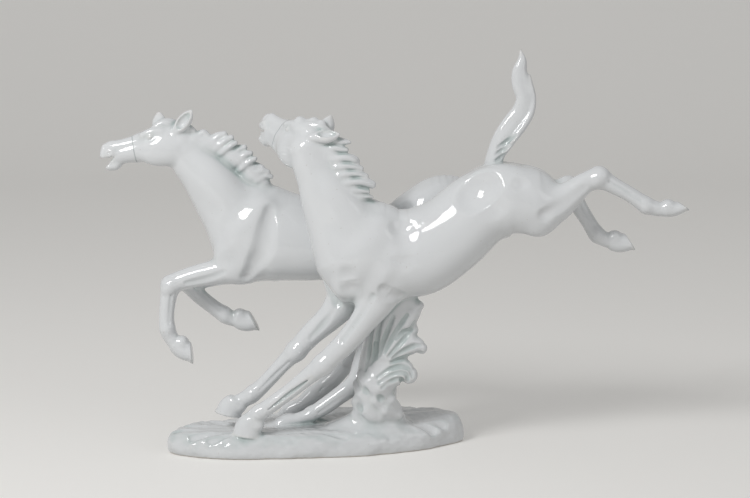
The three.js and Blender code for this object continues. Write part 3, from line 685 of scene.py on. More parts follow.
NEAR_FOLDS = [
    ([(57, 138), (59, 128), (57, 114), (53, 102), (48, 92)], 9, 0.55),  # behind the shoulder
    ([(98, 165), (104, 157), (110, 148.6)], 12, 0.5),  # flank to thigh
    ([(131, 166), (138, 157), (144, 149), (147, 142)], 8, 0.5),  # between thigh and buttock
    ([(38, 92), (28, 77), (18, 63)], 3, 0.6),  # along the left forearm
    ([(146, 144), (158, 151), (170, 160)], 4.4, 0.35),  # along the left gaskin
    ([(45, 96), (50, 92), (56, 90)], 6, 0.8),  # elbow
]
for line, width, depth in NEAR_FOLDS:
    near.score(near_at, line, NEAR_FRONT, width, depth)
BETWEEN_LEGS = -4
right_forearm = [(18, 88), (8, 73), (-2, 61)]
near.score(near_at, right_forearm, BETWEEN_LEGS, width=3, depth=0.6)

near_crest = Roll(near_at, [(6, 186, 7, 8, -3), (13, 180, 7.4, 9, -5), (19, 171, 7.4, 9, -6),
                            (24, 162, 7.4, 9, -6.4), (29, 155, 6, 8, -6)])
near.add(near_crest, soft=5, margin=8)
near_locks = [near_crest] + [
    lock(near, near_at, places) for places in [
        [(6, 189.4, 7, 8, -1), (12, 189.4, 6.4, 8, -4), (17.8, 188.6, 5.4, 7, -5),
         (23.2, 188.2, 2.6, 4, -5)],
        [(9, 184.8, 6, 8, -4), (13, 184.8, 5.8, 8, -5.6), (17.4, 184, 5.2, 7, -6),
         (21.2, 183.4, 3.4, 5, -6)],
        [(13, 177.6, 6, 8, -6), (18, 178.4, 6.2, 8, -7), (23, 178.2, 6, 8, -6.6),
         (26.6, 177, 5.4, 7, -6), (28, 176, 4, 5, -5.6)],
        [(15, 172.4, 5, 7, -7.6), (20, 173.2, 5.2, 7.4, -8), (25.4, 173, 5, 7, -7),
         (30.4, 171.6, 3.8, 5, -6)],
        [(17, 167.4, 5, 7, -8.4), (22, 168.4, 5, 7, -8.6), (28, 168.5, 4.8, 6.6, -7.4),
         (33.6, 166.8, 3.8, 5, -6)],
        [(19, 161.8, 5, 7, -9), (24, 163, 5.6, 7.4, -9), (30, 163.4, 5.8, 7.4, -8),
         (34.8, 162.4, 6.2, 7, -6.6), (37.4, 161.4, 5.4, 6, -6)],
        [(22, 157, 4.6, 6, -9.4), (26.4, 158, 4.8, 6.6, -9), (31, 157.8, 4.4, 6, -8),
         (34.6, 157.3, 3.2, 4.4, -7)],
        [(26, 152.6, 4, 5, -9), (30.4, 153.6, 3.8, 5, -8), (34.4, 154, 3.2, 4.4, -7),
         (37.6, 153.5, 2, 3, -6)],
    ]
]
near_forelock = [
    lock(near, near_at, places) for places in [
        [(7, 194, 8, 9, 3), (3, 198.6, 6.6, 8, 3), (-2, 200, 5, 6.5, 5), (-6, 199.6, 3, 4, 7)],
        [(9, 193.6, 7, 7, -2), (5, 197.4, 5.6, 6, -1.4), (0, 199, 4.2, 5, 0), (-3, 199.2, 2.6, 3.4, 1)],
    ]
]
near_ears = {
    "left_ear": ear(near, near_at, (2.4, 191.6, -7.4), (0.98, 0.07, -0.1), (-0.05, 0.74, -0.67),
                    size=1.04, length=0.9),
    "right_ear": ear(near, near_at, (6.4, 191.4, 5), (0.36, 0.9, 0.1), (-0.25, 0.1, 0.95),
                     size=1.1, length=0.82),
}
near_tail = [
    lock(near, near_at, [
        (111, 160, 14, 13), (113.6, 170, 12.4, 12), (116, 180, 12, 10.6), (120.4, 190, 13.2, 9.6),
        (126.6, 199.5, 13.4, 8.8), (132, 207.5, 12.2, 8.2), (134.2, 216, 11.4, 7.6),
        (131.6, 224.5, 12, 7), (130.6, 232, 10.2, 6), (132, 239.5, 6.2, 4.4), (131, 246.4, 1, 1.2),
    ], strands=2, groove=0.8, twist=0.5),
    lock(near, near_at, [
        (121, 181, 3, 4, -3), (127, 190, 4.6, 6, -3.4), (133.4, 198.6, 5, 6, -2.4),
        (138, 207, 4.6, 6, -1), (139.4, 216, 3.6, 5, 0), (137.6, 225, 3, 4, 0.6),
        (136.8, 230, 1.6, 2, 0.6),
    ], strands=0),
]
TAIL_FRONT = -36  # as IN_FRONT, for the curls on the tail
for line in [
    [(116, 176.6), (119, 178.4), (122, 180.6)], [(115.8, 180.4), (119.8, 183), (124.4, 186.4)],
    [(117, 184.8), (122.4, 188.4), (128, 192.6)],
]:
    near.score(near_at, line, TAIL_FRONT, width=2.8, depth=1.1, soft=1.0)


# The far horse
# White porcelain, slip-cast, behind the near horse; its hind hooves and the tuft carry it.
# It leaps: hind hooves luted to the plinth, forelegs folded in the air, neck and head stretched out.

MIDDLE_FAR = 21.0

far_at = Setting((0, MIDDLE_FAR, PLINTH_TOP), (1, 0, 0), (0, 0, 1))
far = Clay((-146, -12, 8), (144, 52, 228), CELL)

far.add(Roll(far_at, [  # barrel
    (-46, 119, 56, 41), (-27, 122, 61, 46), (-4, 119, 54, 47), (19, 119, 51, 47), (42, 119, 46, 45),
    (58, 122, 46, 44), (72, 130, 49, 44), (86, 138, 49, 40), (100, 139, 38, 32), (111, 136, 20, 20),
], egg=BARREL_EGG), soft=2)
far.add(Roll(far_at, [  # neck
    (-45, 132, 53, 36), (-57, 143, 43.4, 31), (-66.6, 154.4, 35.4, 27), (-75, 165, 30, 24),
    (-82, 174, 29, 22), (-89, 179, 26, 20),
], egg=NECK_EGG), soft=12, margin=13)
far_face = head_setting((-90, 193, 0), yaw=0, pitch=-12, middle=MIDDLE_FAR)
head_forms(far, far_face, gape=5.6, deep=1.04)

far_legs = {}
far_legs["left_foreleg"] = leg(far, far_at,
    [(-43, 113, 29, 18, -8), (-49, 103, 23, 18, -9), (-61, 100, 17.6, 15.5, -10),
     (-76, 97, 14.8, 13.6, -10), (-87, 94, 13.4, 13, -10), (-95, 91, 12.4, 12, -10)],
    [(-95, 90, 12.4, 12, -10), (-97, 80, 10.6, 10.4, -10), (-98, 70, 10, 9.8, -10),
     (-97.5, 61, 10.6, 11.2, -10), (-95, 55, 9.6, 10.2, -10), (-93, 51.5, 9, 10, -10)],
    Hoof(far_at, (-98.4, 48), (-87.6, 54.8), (-80.6, 37.2), (-82, 52), side=-10),
    bend_size=6.4, fetlock_at=(-97.5, 61.5), side=-10)
far_legs["right_foreleg"] = leg(far, far_at,
    [(-44, 110, 29, 18, 8), (-52, 100, 23, 18, 9), (-64, 96, 17.6, 15.5, 10),
     (-78, 92, 14.8, 13.6, 11), (-87, 90, 12.4, 12, 11)],
    [(-87, 90, 12.4, 12, 11), (-79, 80.5, 10.6, 10.4, 11), (-70, 73, 10, 9.8, 11),
     (-61, 66.5, 10.6, 11.2, 11), (-56, 64, 9.6, 10.2, 11), (-53, 63.6, 9, 10, 11)],
    Hoof(far_at, (-54.2, 57.6), (-53.2, 69.2), (-37.6, 56), (-45, 69.6), side=11),
    bend_size=6.4, fetlock_at=(-61, 67), side=11)
far_legs["left_hindleg"] = leg(far, far_at,
    [(77, 136, 34, 24, -9), (64, 117, 34, 24, -10), (53, 98, 26, 20.6, -12), (44, 78, 18.6, 16, -13),
     (37, 58, 13.6, 12.8, -14), (31.5, 41, 13, 12.4, -15), (27.5, 26, 13, 12, -16)],
    [(27.5, 26, 13, 12, -16), (17, 18.6, 11.6, 11, -17), (6, 10.8, 11, 10.4, -18),
     (-3, 5.6, 9.4, 10.8, -19), (-11, 2.8, 8.4, 10.6, -20), (-17, 2, 8, 10.4, -20)],
    Hoof(far_at, (-17, 6.4), (-12, -2.5), (-34.5, -0.8), (-16, -3.5), side=-20),
    bend_size=6.4, fetlock_at=(-3, 5.6), side=-18)
far_legs["right_hindleg"] = leg(far, far_at,
    [(77, 134, 34, 24, 9), (66, 114, 34, 24, 9), (56, 94, 26, 20.6, 9), (45, 75, 18.6, 16, 8),
     (33.5, 57, 14.4, 13, 7), (22, 39.5, 14, 12.4, 6)],
    [(22, 39.5, 14, 12.4, 6), (14, 28, 12.4, 11, 4), (6, 20.4, 11.4, 10.4, 2),
     (-3, 13.8, 11.4, 11.2, 0), (-9, 9, 10, 10.6, -1), (-13, 6.8, 9.4, 10.4, -1)],
    Hoof(far_at, (-16, 11), (-9, 1.5), (-28.5, 0.4), (-13, -2.5), side=-1),
    bend_size=6.4, fetlock_at=(-3, 13.8), side=2)

lay_muscles(far, far_at, [
    ((-30, 146, 12), (-54, 114, 14), 10, 8, 7),  # shoulder blade
    ((-55, 124, 12), (-60, 104, 12), 8, 6, 4),  # point of the shoulder
    ((-30, 130, 14), (-49, 101, 13.4), 10, 8, 5),  # back of the upper arm
    ((96, 146, 10), (58, 108, 11), 15, 10, 8),  # thigh
    ((104, 143, 7), (88, 122, 9), 8, 8, 6),  # buttock
    ((62, 144, 9), (92, 154, 8), 7, 8, 6),  # croup
    ((-50, 140, 10), (-74, 172, 7), 9, 7, 9),  # neck behind the throat
])
for start, end in [((-61, 122, -5), (-57, 104, -7)), ((-62, 120, 5), (-59, 102, 7))]:
    far.add(Muscle(far_at, start, end, 6, 6), soft=3, margin=6)  # breast
between_breasts = [(-68, 130, 1.6, 1.6, 0), (-66, 118, 3.4, 2.4, 0), (-63, 106, 4, 3, 0)]
far.press(Roll(far_at, between_breasts), soft=2)
FAR_FOLDS = [
    ([(-28, 142), (-31, 128), (-34, 115), (-39, 103), (-44, 96)], 13, 2.4),  # behind the shoulder
    ([(-84, 92.6), (-76, 94), (-68, 96.4), (-60, 100)], 3.4, 0.7),  # along the forearm
    ([(54, 142), (56, 128), (52, 114), (48, 104)], 14, 1.4),  # flank to thigh
    ([(84, 142), (76, 126), (66, 110)], 8, 0.8),  # between thigh and buttock
]
for line, width, depth in FAR_FOLDS:
    far.score(far_at, line, IN_FRONT, width, depth)

far_crest = Roll(far_at, [(-77, 186.4, 6, 8, -2), (-70, 184.4, 7.4, 8, -2), (-62, 180.4, 8, 9, -2),
                          (-53.5, 176, 8, 9, -3), (-42, 167.2, 8, 9, -3), (-33, 158.4, 6, 8, -3)])
far.add(far_crest, soft=6, margin=9)
far_crests = [far_crest]
for start, end in [((-78, 182, -1), (-55, 183, -3)), ((-61, 174, -2), (-42, 172.6, -3)),
                   ((-48, 163.6, -2), (-32, 161.4, -3))]:
    crest = Muscle(far_at, start, end, 5.4, 5)
    far.add(crest, soft=4, margin=7)
    far_crests.append(crest)
far_locks = far_crests + [
    lock(far, far_at, places) for places in [
        [(-78, 186, 6.4, 8, -0.4), (-76.4, 188, 5.8, 8, -1), (-73, 190, 5.2, 7, -2),
         (-70.2, 188.6, 3.6, 4.6, -3)],
        [(-69.6, 181.4, 6, 8, -0.8), (-67.6, 183.6, 6.4, 8, -2), (-63.8, 187.6, 6, 7.4, -3),
         (-58.8, 189.6, 3.8, 5, -4)],
        [(-65.6, 178.8, 6, 8, -2), (-63.6, 181, 6.2, 8, -3.4), (-58.7, 185.2, 5.6, 7, -5),
         (-54.3, 187.3, 3.8, 5, -5)],
        [(-61.6, 176.7, 5.4, 7, -3.2), (-59.4, 178.6, 5.6, 7, -5), (-54.8, 182.3, 5, 6.4, -6),
         (-51.7, 183.8, 3.6, 5, -6)],
        [(-56.5, 172.4, 6, 8, -0.8), (-54.2, 174.6, 6.2, 8, -2), (-50.3, 179.3, 5.8, 7.4, -3),
         (-45.9, 180.8, 3.8, 5, -4)],
        [(-52.6, 169.7, 6, 8, -2), (-50.4, 171.6, 6, 8, -3.4), (-45.7, 176, 5.6, 7, -5),
         (-42, 177, 3.8, 5, -5)],
        [(-48.6, 166.4, 5.4, 7, -3.2), (-46.5, 168.4, 5.6, 7, -5), (-42.2, 172.1, 5, 6.4, -6),
         (-39.1, 173.4, 3.6, 5, -6)],
        [(-45.5, 163.8, 5.6, 8, -0.8), (-43.2, 165.8, 5.6, 8, -2), (-39.2, 168.4, 5.2, 7, -3),
         (-34.9, 167.7, 3.8, 5, -4)],
        [(-42.2, 160.8, 5.6, 8, -2), (-40, 162.6, 5.6, 7.4, -3.4), (-35.3, 165.5, 5, 6.6, -5),
         (-31, 164.6, 3.8, 5, -5)],
        [(-38.7, 158.1, 5, 7, -3), (-36.7, 159.8, 5, 6.4, -4.6), (-32.1, 162.2, 4.4, 6, -5),
         (-28.7, 161.6, 3.4, 4.6, -5)],
    ]
]
far_forelock = [
    lock(far, far_at, places) for places in [
        [(-88, 190, 8, 9, 0), (-93, 195, 8, 8, 0), (-98, 196.2, 7, 8, -1), (-103, 194.8, 5, 6, -2),
         (-106.4, 192.4, 2.6, 3.4, -3)],
        [(-86, 189, 7, 7, -2), (-82.4, 192.4, 6.4, 6.6, -3), (-79.4, 191.4, 4, 4.6, -3)],
    ]
]
far_ears = {
    "left_ear": ear(far, far_at, (-89.4, 192, -6), (0.6, 0.79, -0.1), (-0.25, 0.1, -0.95), size=1.06),
    "right_ear": ear(far, far_at, (-101.4, 189, 5), (-0.12, 0.98, 0.1), (0.25, 0, 0.95),
                     size=1.15, length=0.84),
}
far_tail = [lock(far, far_at, [
    (98, 146, 14, 14), (108, 153, 12, 12), (118, 155, 12, 12), (128, 150, 12, 11), (135, 141, 9, 9),
    (138, 131, 2, 2),
], strands=3, groove=1.0, twist=0.6)]


# The luted skin
# The figures are stuck to the plinth, the tuft and each other with slip, a runny porcelain clay, and
# fired with them. The slip rounds each corner, so one unbroken skin runs over the whole group.

whole = Clay((-150, -64, -3), (250, 64, 272), CELL)
groups = {"rock": rock, "tuft": tuft, "near": near, "far": far}
SLIP_FILLET = 1.6  # how the glaze and slip round the corner where two groups touch
TUFT_FILLET = 5.0  # the tuft's foot is worked into the rock
for name, clay in groups.items():
    first = np.round((clay.low - whole.low) / CELL).astype(int)
    window = tuple(slice(a, a + n) for a, n in zip(first, clay.field.shape))
    fillet = TUFT_FILLET if name == "tuft" else SLIP_FILLET
    whole.field[window] = melt(whole.field[window], clay.field, fillet)

STRAY_SHARE = 0.1  # of its casting's largest stretch, below which an island is a stray
NOWHERE = -1
CLOSING_STEPS = (0.15, 0.5, 0.85)  # the points on each link across an opening
CLOSING_DEPTH = 0.8


class Skin:
    """The glazed skin as triangles, each owned by one casting."""

    RECESS_REACH = 3.0  # how far off the surface a hollow is felt for
    RIDGE_REACH = 2.0  # and how far under it an edge
    SINKING_STEPS = 8

    def __init__(self, clay):
        grid = openvdb.FloatGrid(background=FAR)
        grid.copyFromArray(clay.field)
        points, _, quads = grid.convertToPolygons(isovalue=0.0, adaptivity=0.0)
        points = clay.low + points.astype(float) * clay.cell
        for _ in range(2):
            slope = clay.slope(points)
            points = points - slope * np.clip(clay.at(points), -0.5, 0.5)[:, None]
        quads = quads.astype(int)
        faces = np.concatenate((quads[:, [0, 1, 2]], quads[:, [0, 2, 3]]))
        a, b, c = (points[faces[:, i]] for i in range(3))
        outward = clay.slope((a + b + c) / 3)
        if (np.cross(b - a, c - a) * outward).sum() < 0:
            faces = faces[:, ::-1]
        normals = clay.slope(points)
        # how deep in a hollow each point lies; the glaze turns it into green pooling and painted shade
        recess = 1 - clay.at(points + self.RECESS_REACH * normals) / self.RECESS_REACH
        ridge = 1 + clay.at(points - self.RIDGE_REACH * normals) / self.RIDGE_REACH
        self.rows = np.column_stack((points, normals, recess, ridge))
        self.faces = faces
        self.owners = ["skin"]
        self.owner = np.zeros(len(faces), int)

    @property
    def points(self):
        return self.rows[:, :3]

    def claim(self, new, old, value):
        """Gives to `new` the part of `old` where the value is above 0, and cuts faces at the border."""
        value = np.where(np.abs(value) < 1e-4, 1e-4, value)
        mine = self.owner == self.owners.index(old)
        if new not in self.owners:
            self.owners.append(new)
        new_index = self.owners.index(new)
        positive = value[self.faces] > 0
        count = positive.sum(axis=1)
        self.owner[mine & (count == 3)] = new_index
        crossed = np.flatnonzero(mine & (count > 0) & (count < 3))
        if not len(crossed):
            return
        faces = self.faces[crossed]
        lone_side = count[crossed] == 1
        alone = np.argmax(positive[crossed] == lone_side[:, None], axis=1)
        turn = (alone[:, None] + np.arange(3)) % 3
        faces = np.take_along_axis(faces, turn, axis=1)
        ends = np.concatenate((faces[:, [0, 1]], faces[:, [0, 2]]))
        ends.sort(axis=1)
        edges, which = np.unique(ends, axis=0, return_inverse=True)
        which = which.reshape(-1)
        v0, v1 = value[edges[:, 0]], value[edges[:, 1]]
        share = (v0 / (v0 - v1))[:, None]
        rows = self.rows[edges[:, 0]] * (1 - share) + self.rows[edges[:, 1]] * share
        base = len(self.rows)
        self.rows = np.concatenate((self.rows, rows))
        ab = base + which[:len(faces)]
        ac = base + which[len(faces):]
        a, b, c = faces.T
        old_index = self.owners.index(old)
        tip_owner = np.where(lone_side, new_index, old_index)
        rest_owner = np.where(lone_side, old_index, new_index)
        self.faces[crossed] = np.column_stack((a, ab, ac))
        self.owner[crossed] = tip_owner
        extra = np.concatenate((np.column_stack((ab, b, c)), np.column_stack((ab, c, ac))))
        self.faces = np.concatenate((self.faces, extra))
        self.owner = np.concatenate((self.owner, rest_owner, rest_owner))

    def gather(self):
        """Gives each stray island to the casting that lies round it, and drops bubbles in the clay."""
        edges = np.concatenate([self.faces[:, pair] for pair in ([0, 1], [1, 2], [2, 0])])
        edges.sort(axis=1)
        codes = edges[:, 0] * len(self.rows) + edges[:, 1]
        order = np.argsort(codes, kind="stable")
        face = np.tile(np.arange(len(self.faces)), 3)[order]
        one, other = face[0::2], face[1::2]
        within = self.owner[one] == self.owner[other]
        label = np.arange(len(self.faces))
        while True:
            before = label.copy()
            least = np.minimum(label[one[within]], label[other[within]])
            np.minimum.at(label, label[one[within]], least)
            np.minimum.at(label, label[other[within]], least)
            label = label[label]
            if (label == before).all():
                break
        stretches, label, sizes = np.unique(label, return_inverse=True, return_counts=True)
        owner_of = self.owner[stretches]
        largest = np.zeros(len(self.owners), int)
        np.maximum.at(largest, owner_of, sizes)
        for stray in np.flatnonzero(sizes < STRAY_SHARE * largest[owner_of]):
            there = label[one] == stray
            here = label[other] == stray
            beside = np.concatenate((other[there & ~here], one[here & ~there]))
            owners = self.owner[beside]
            self.owner[label == stray] = np.bincount(owners).argmax() if len(owners) else NOWHERE

    def casting(self, name, clay):
        """The faces of one casting, closed across each opening."""
        faces = self.faces[self.owner == self.owners.index(name)]
        used, faces = np.unique(faces, return_inverse=True)
        faces = faces.reshape(-1, 3)
        edges = np.concatenate((faces[:, [0, 1]], faces[:, [1, 2]], faces[:, [2, 0]]))
        size = len(used)
        codes = edges[:, 0] * size + edges[:, 1]
        back = edges[:, 1] * size + edges[:, 0]
        rim = edges[~np.isin(codes, back)]
        follow = {}
        for a, b in rim.tolist():
            follow.setdefault(a, []).append(b)
        rows = self.rows[used]
        while follow:
            walk = [next(iter(follow))]
            while walk:
                here = walk[-1]
                if here not in follow:
                    break
                step = follow[here].pop()
                if not follow[here]:
                    del follow[here]
                if step in walk:
                    first = walk.index(step)
                    rows, faces = self.closed(rows, faces, walk[first:][::-1], clay)
                    walk = walk[:first + 1] if first else []
                else:
                    walk.append(step)
        return rows, faces

    def closed(self, rows, faces, rim, clay):
        """Lays faces across an opening, between the long sides of its rim, sunk into the clay."""
        edge = rows[rim, :3]
        start = int(np.linalg.norm(edge - edge.mean(axis=0), axis=1).argmax())
        rim = rim[start:] + rim[:start]
        edge = np.roll(edge, -start, axis=0)
        turn = int(np.linalg.norm(edge - edge[0], axis=1).argmax())
        one = list(range(turn + 1))
        other = [0, *range(len(rim) - 1, turn - 1, -1)]

        def link(i, j):
            """The length of a link from one side to the other, endless where a side is over."""
            if i == len(one) or j == len(other):
                return math.inf
            return np.linalg.norm(edge[one[i]] - edge[other[j]])

        i = j = 0
        links = [(0, 0)]
        while i < len(one) - 1 or j < len(other) - 1:
            i, j = (i + 1, j) if link(i + 1, j) <= link(i, j + 1) else (i, j + 1)
            links.append((i, j))
        a = edge[[one[i] for i, _ in links]]
        b = edge[[other[j] for _, j in links]]
        steps = [np.array([rim[one[i]] for i, _ in links])]
        for share in CLOSING_STEPS:
            points = self.sunk(a + (b - a) * share, CLOSING_DEPTH, clay)
            at = len(rows) + np.arange(len(links))
            at[0], at[-1] = rim[0], rim[turn]
            steps.append(at)
            rows = np.concatenate((rows, self.dressed(points)))
        steps.append(np.array([rim[other[j]] for _, j in links]))
        for p, q in zip(steps, steps[1:]):
            faces = np.concatenate((faces, np.column_stack((p[:-1], p[1:], q[1:])),
                                    np.column_stack((p[:-1], q[1:], q[:-1]))))
        p, q, r = faces.T
        return rows, faces[(p != q) & (q != r) & (r != p)]

    def sunk(self, points, depth, clay):
        """The points, moved into the clay where they don't lie deep enough in it."""
        for _ in range(self.SINKING_STEPS):
            proud = clay.at(points) + depth
            points = points - clay.slope(points) * np.clip(proud, 0, 1)[:, None]
        return points

    def dressed(self, points):
        """Rows for points that lie inside, where nothing of the glaze shows."""
        rows = np.zeros((len(points), self.rows.shape[1]))
        rows[:, :3] = points
        return rows


skin = Skin(whole)


# The castings
# Each porcelain casting came from a plaster mould of its own and was joined at a luting line. There
# the skin is cut into closed pieces: by the group, then by pressed detail, leg, neck, head, muzzle.

def nearest_group(name):
    """Above 0 where a point of the skin lies nearer to its own group's clay than to any other."""
    own = groups[name].at(skin.points)
    others = np.min([clay.at(skin.points) for other, clay in groups.items() if other != name], axis=0)
    return others - own


skin.claim("plinth", "skin", nearest_group("rock"))
skin.claim("support_tuft", "skin", nearest_group("tuft"))
skin.claim("near_horse", "skin", nearest_group("near"))
skin.owners[0] = "far_horse"

LUTING = {
    "near_horse": {
        "at": near_at, "clay": near, "legs": near_legs,
        "details": {**near_ears, "forelock": near_forelock, "mane": near_locks, "tail": near_tail},
        "leg_cuts": {
            "left_foreleg": (37, 84, (-0.62, -0.78)), "right_foreleg": (16, 81, (-0.65, -0.76)),
            "left_hindleg": (158, 153, (0.83, 0.56)), "right_hindleg": (155, 152, (0.72, 0.69)),
        },
        "neck": (14, 144, (-0.47, 0.88)), "head": (-15, 171, (-0.74, 0.68)),
        "muzzle": (-19.4, 191.2, (-0.56, 0.55), 23.4, 0.71),
    },
    "far_horse": {
        "at": far_at, "clay": far, "legs": far_legs,
        "details": {**far_ears, "forelock": far_forelock, "mane": far_locks, "tail": far_tail},
        "leg_cuts": {
            "left_foreleg": (-72, 98, (-0.98, -0.2)), "right_foreleg": (-72, 94, (-0.96, -0.28)),
            "left_hindleg": (47, 86, (-0.41, -0.91)), "right_hindleg": (51, 85, (-0.47, -0.88)),
        },
        "neck": (-62, 147, (-0.65, 0.76)), "head": (-100, 170, (-0.89, 0.45)),
        "muzzle": (-118.3, 180, (-0.985, -0.17)),
    },
}
DETAIL_REACH = 6.0  # round its own forms, where a detail's casting is looked for
LEG_REACH = 7.0  # a leg's casting is cut within this distance of its own forms
LEG_MARGIN = 2.0  # added where that distance is measured


def close_to(forms, reach):
    """The skin's points within reach of the box round some forms."""
    low = np.min([form.low for form in forms], axis=0) - reach
    high = np.max([form.high for form in forms], axis=0) + reach
    return np.flatnonzero(((skin.points > low) & (skin.points < high)).all(axis=1))


def distance_to(forms, close):
    """The distance from the close ones of the skin's points to the nearest of some forms."""
    nearest = np.full(len(skin.points), FAR)
    nearest[close] = np.min([form.distance(skin.points[close]) for form in forms], axis=0)
    return nearest


def nearest_detail(own, others):
    """Above 0 where a point lies nearer to a pressed detail's own forms than to the others."""
    close = close_to(own, DETAIL_REACH)
    value = distance_to(others, close) - distance_to(own, close)
    away = np.ones(len(value), bool)
    away[close] = False
    value[away] = -FAR
    return value


def from_leg(forms):
    """The distance from the skin's points to the forms of one leg or of several."""
    return distance_to(forms, close_to(forms, LEG_REACH + LEG_MARGIN))


def beyond(points, setting, x, z, across, side=0.0, aside=0.0):
    """How far each point lies beyond a luting plane."""
    way = np.array([across[0], aside, across[1]])
    way = way / np.linalg.norm(way)
    return (points - setting.place(x, z, side)) @ way


for horse, cuts in LUTING.items():
    at = cuts["at"]
    for detail, forms in cuts["details"].items():
        others = [form for form in cuts["clay"].forms if form not in forms]
        skin.claim(f"{horse}_{detail}", horse, nearest_detail(forms, others))
    for leg_name, cut in cuts["leg_cuts"].items():
        own = from_leg(cuts["legs"][leg_name])
        others = [form for name, forms in cuts["legs"].items() if name != leg_name for form in forms]
        value = np.minimum(beyond(skin.points, at, *cut), LEG_REACH - own)
        value = np.minimum(value, from_leg(others) - own)
        skin.claim(f"{horse}_{leg_name}", horse, value)
    skin.claim(f"{horse}_neck", horse, beyond(skin.points, at, *cuts["neck"]))
    skin.claim(f"{horse}_head", f"{horse}_neck", beyond(skin.points, at, *cuts["head"]))
    skin.claim(f"{horse}_muzzle", f"{horse}_head", beyond(skin.points, at, *cuts["muzzle"]))
    skin.owners[skin.owners.index(horse)] = f"{horse}_torso"

skin.gather()


# The glaze
# A clear feldspar glaze over the white body, poured on and fired to a gloss. It pools a faint green
# in the hollows, which are also painted darker as shade, thins on the edges, and is wiped off the foot,
# where the biscuit ware stays bare.

class Value:
    """A value in a glaze's shader: sums and products of values add the nodes they need."""

    def __init__(self, tree, socket):
        self.tree = tree
        self.socket = socket

    def node(self, kind, output, inputs, **settings):
        """An output of any other node, fed with values, numbers or colours."""
        node = self.tree.nodes.new(kind)
        for name, setting in settings.items():
            setattr(node, name, setting)
        for name, value in inputs.items():
            if isinstance(value, Value):
                self.tree.links.new(value.socket, node.inputs[name])
            else:
                node.inputs[name].default_value = value
        return Value(self.tree, node.outputs[output])

    def maths(self, operation, *values):
        """The result of one sum, product or other step between numbers."""
        return self.node("ShaderNodeMath", 0, dict(enumerate(values)), operation=operation)

    def __add__(self, other):
        return self.maths("ADD", self, other)

    def __sub__(self, other):
        return self.maths("SUBTRACT", self, other)

    def __rsub__(self, other):
        return self.maths("SUBTRACT", other, self)

    def __mul__(self, other):
        return self.maths("MULTIPLY", self, other)

    def __abs__(self):
        return self.maths("ABSOLUTE", self)

    __radd__ = __add__
    __rmul__ = __mul__

    def ramp(self, low, high):
        """0 below `low`, 1 above `high`, and smooth between."""
        return self.node("ShaderNodeMapRange", 0, {0: self, 1: low, 2: high},
                         interpolation_type="SMOOTHSTEP")

    def mixed(self, under, over):
        """The colour `over` laid on `under`, as far as this value is 1."""
        return self.node("ShaderNodeMix", 2, {0: self, 6: under, 7: over}, data_type="RGBA")


WHITE = (0.75, 0.765, 0.775, 1)
CLOUDED = (0.6975, 0.71145, 0.72075, 1)
THIN = (0.79, 0.785, 0.765, 1)  # where the glaze has run off an edge and the body shows warmer
# painted shade: the hollows' colour, the glaze's green pooling darkened well below the white to stand
# for shade
POOLED_GLAZE_AND_PAINTED_SHADE = (0.49, 0.56, 0.55, 1)
SPECK = (0.42, 0.38, 0.32, 1)
SLIP_LINE = (0.36, 0.4, 0.4, 1)
BISCUIT = (0.66, 0.63, 0.58, 1)
GLAZE_IOR = 1.54

# How many waves a metre holds, for each unevenness of the glaze
CLOUD_SCALE, RUN_SCALE, SPECK_SCALE = 28, 110, 650
RIPPLE_SCALE, SWELL_SCALE, LINE_SCALE, FOOT_SCALE = 420, 150, 300, 160

RIPPLE_HEIGHT = 0.03 * MM
FOOT_LINE = (0.6 * MM, 1.3 * MM)  # between these heights the glaze begins
FOOT_WANDER = 1.2 * MM


def glaze(name, pooling_and_shade, tone=1.0, lined=False, footed=False):
    """White porcelain under a clear glaze that pools greenish in the hollows, painted darker there as
    shade.
    """
    material = bpy.data.materials.new(name)
    material.use_nodes = True
    tree = material.node_tree
    places = Value(tree, tree.nodes.new("ShaderNodeTexCoord").outputs["Object"])

    def noise(scale, detail):
        inputs = {"Vector": places, "Scale": scale, "Detail": detail}
        return places.node("ShaderNodeTexNoise", 0, inputs)

    def quality(attribute):
        return places.node("ShaderNodeAttribute", 2, {}, attribute_name=attribute)

    clouds = noise(CLOUD_SCALE, detail=3)
    runs = noise(RUN_SCALE, detail=2)
    # the glaze's green pooling in the hollows, darkened there as painted shade where the recess measure
    # is high
    pooled_and_shaded = (quality("recess") + 0.22 * (runs - 0.5)).ramp(0.03, 0.75) * pooling_and_shade
    edge = (quality("ridge") + 0.3 * (runs - 0.5)).ramp(0.12, 0.9) * 0.7
    colour = pooled_and_shaded.mixed(edge.mixed(WHITE, THIN), POOLED_GLAZE_AND_PAINTED_SHADE)
    colour = ((clouds - 0.5).ramp(-0.2, 0.25) * 0.22).mixed(colour, CLOUDED)
    colour = (noise(SPECK_SCALE, detail=0).ramp(0.82, 0.87) * 0.25).mixed(colour, SPECK)
    rough = 0.05 + 0.05 * runs + 0.05 * pooled_and_shaded
    height = 0.6 * noise(RIPPLE_SCALE, detail=1) + 0.4 * noise(SWELL_SCALE, detail=1)
    if lined:
        seam = 1 - abs(quality("line") + 0.3 * (noise(LINE_SCALE, detail=1) - 0.5)).ramp(0.1, 0.55)
        colour = (seam * 0.75).mixed(colour, SLIP_LINE)
        rough = rough + 0.2 * seam
        height = height - 2.5 * seam
    if footed:
        above = places.node("ShaderNodeSeparateXYZ", 2, {0: places})
        above = above + FOOT_WANDER * (noise(FOOT_SCALE, detail=2) - 0.5)
        bare = 1 - above.ramp(*FOOT_LINE)
        colour = bare.mixed(colour, BISCUIT)
        rough = rough + 0.5 * bare
    colour = colour.node("ShaderNodeVectorMath", 0, {0: colour, 3: tone}, operation="SCALE")
    bump = {"Strength": 0.5, "Distance": RIPPLE_HEIGHT, "Height": height}
    normal = height.node("ShaderNodeBump", 0, bump)
    shader = tree.nodes["Principled BSDF"]
    for socket, value in (("Base Color", colour), ("Roughness", rough), ("Normal", normal)):
        tree.links.new(value.socket, shader.inputs[socket])
    shader.inputs["IOR"].default_value = GLAZE_IOR
    return material


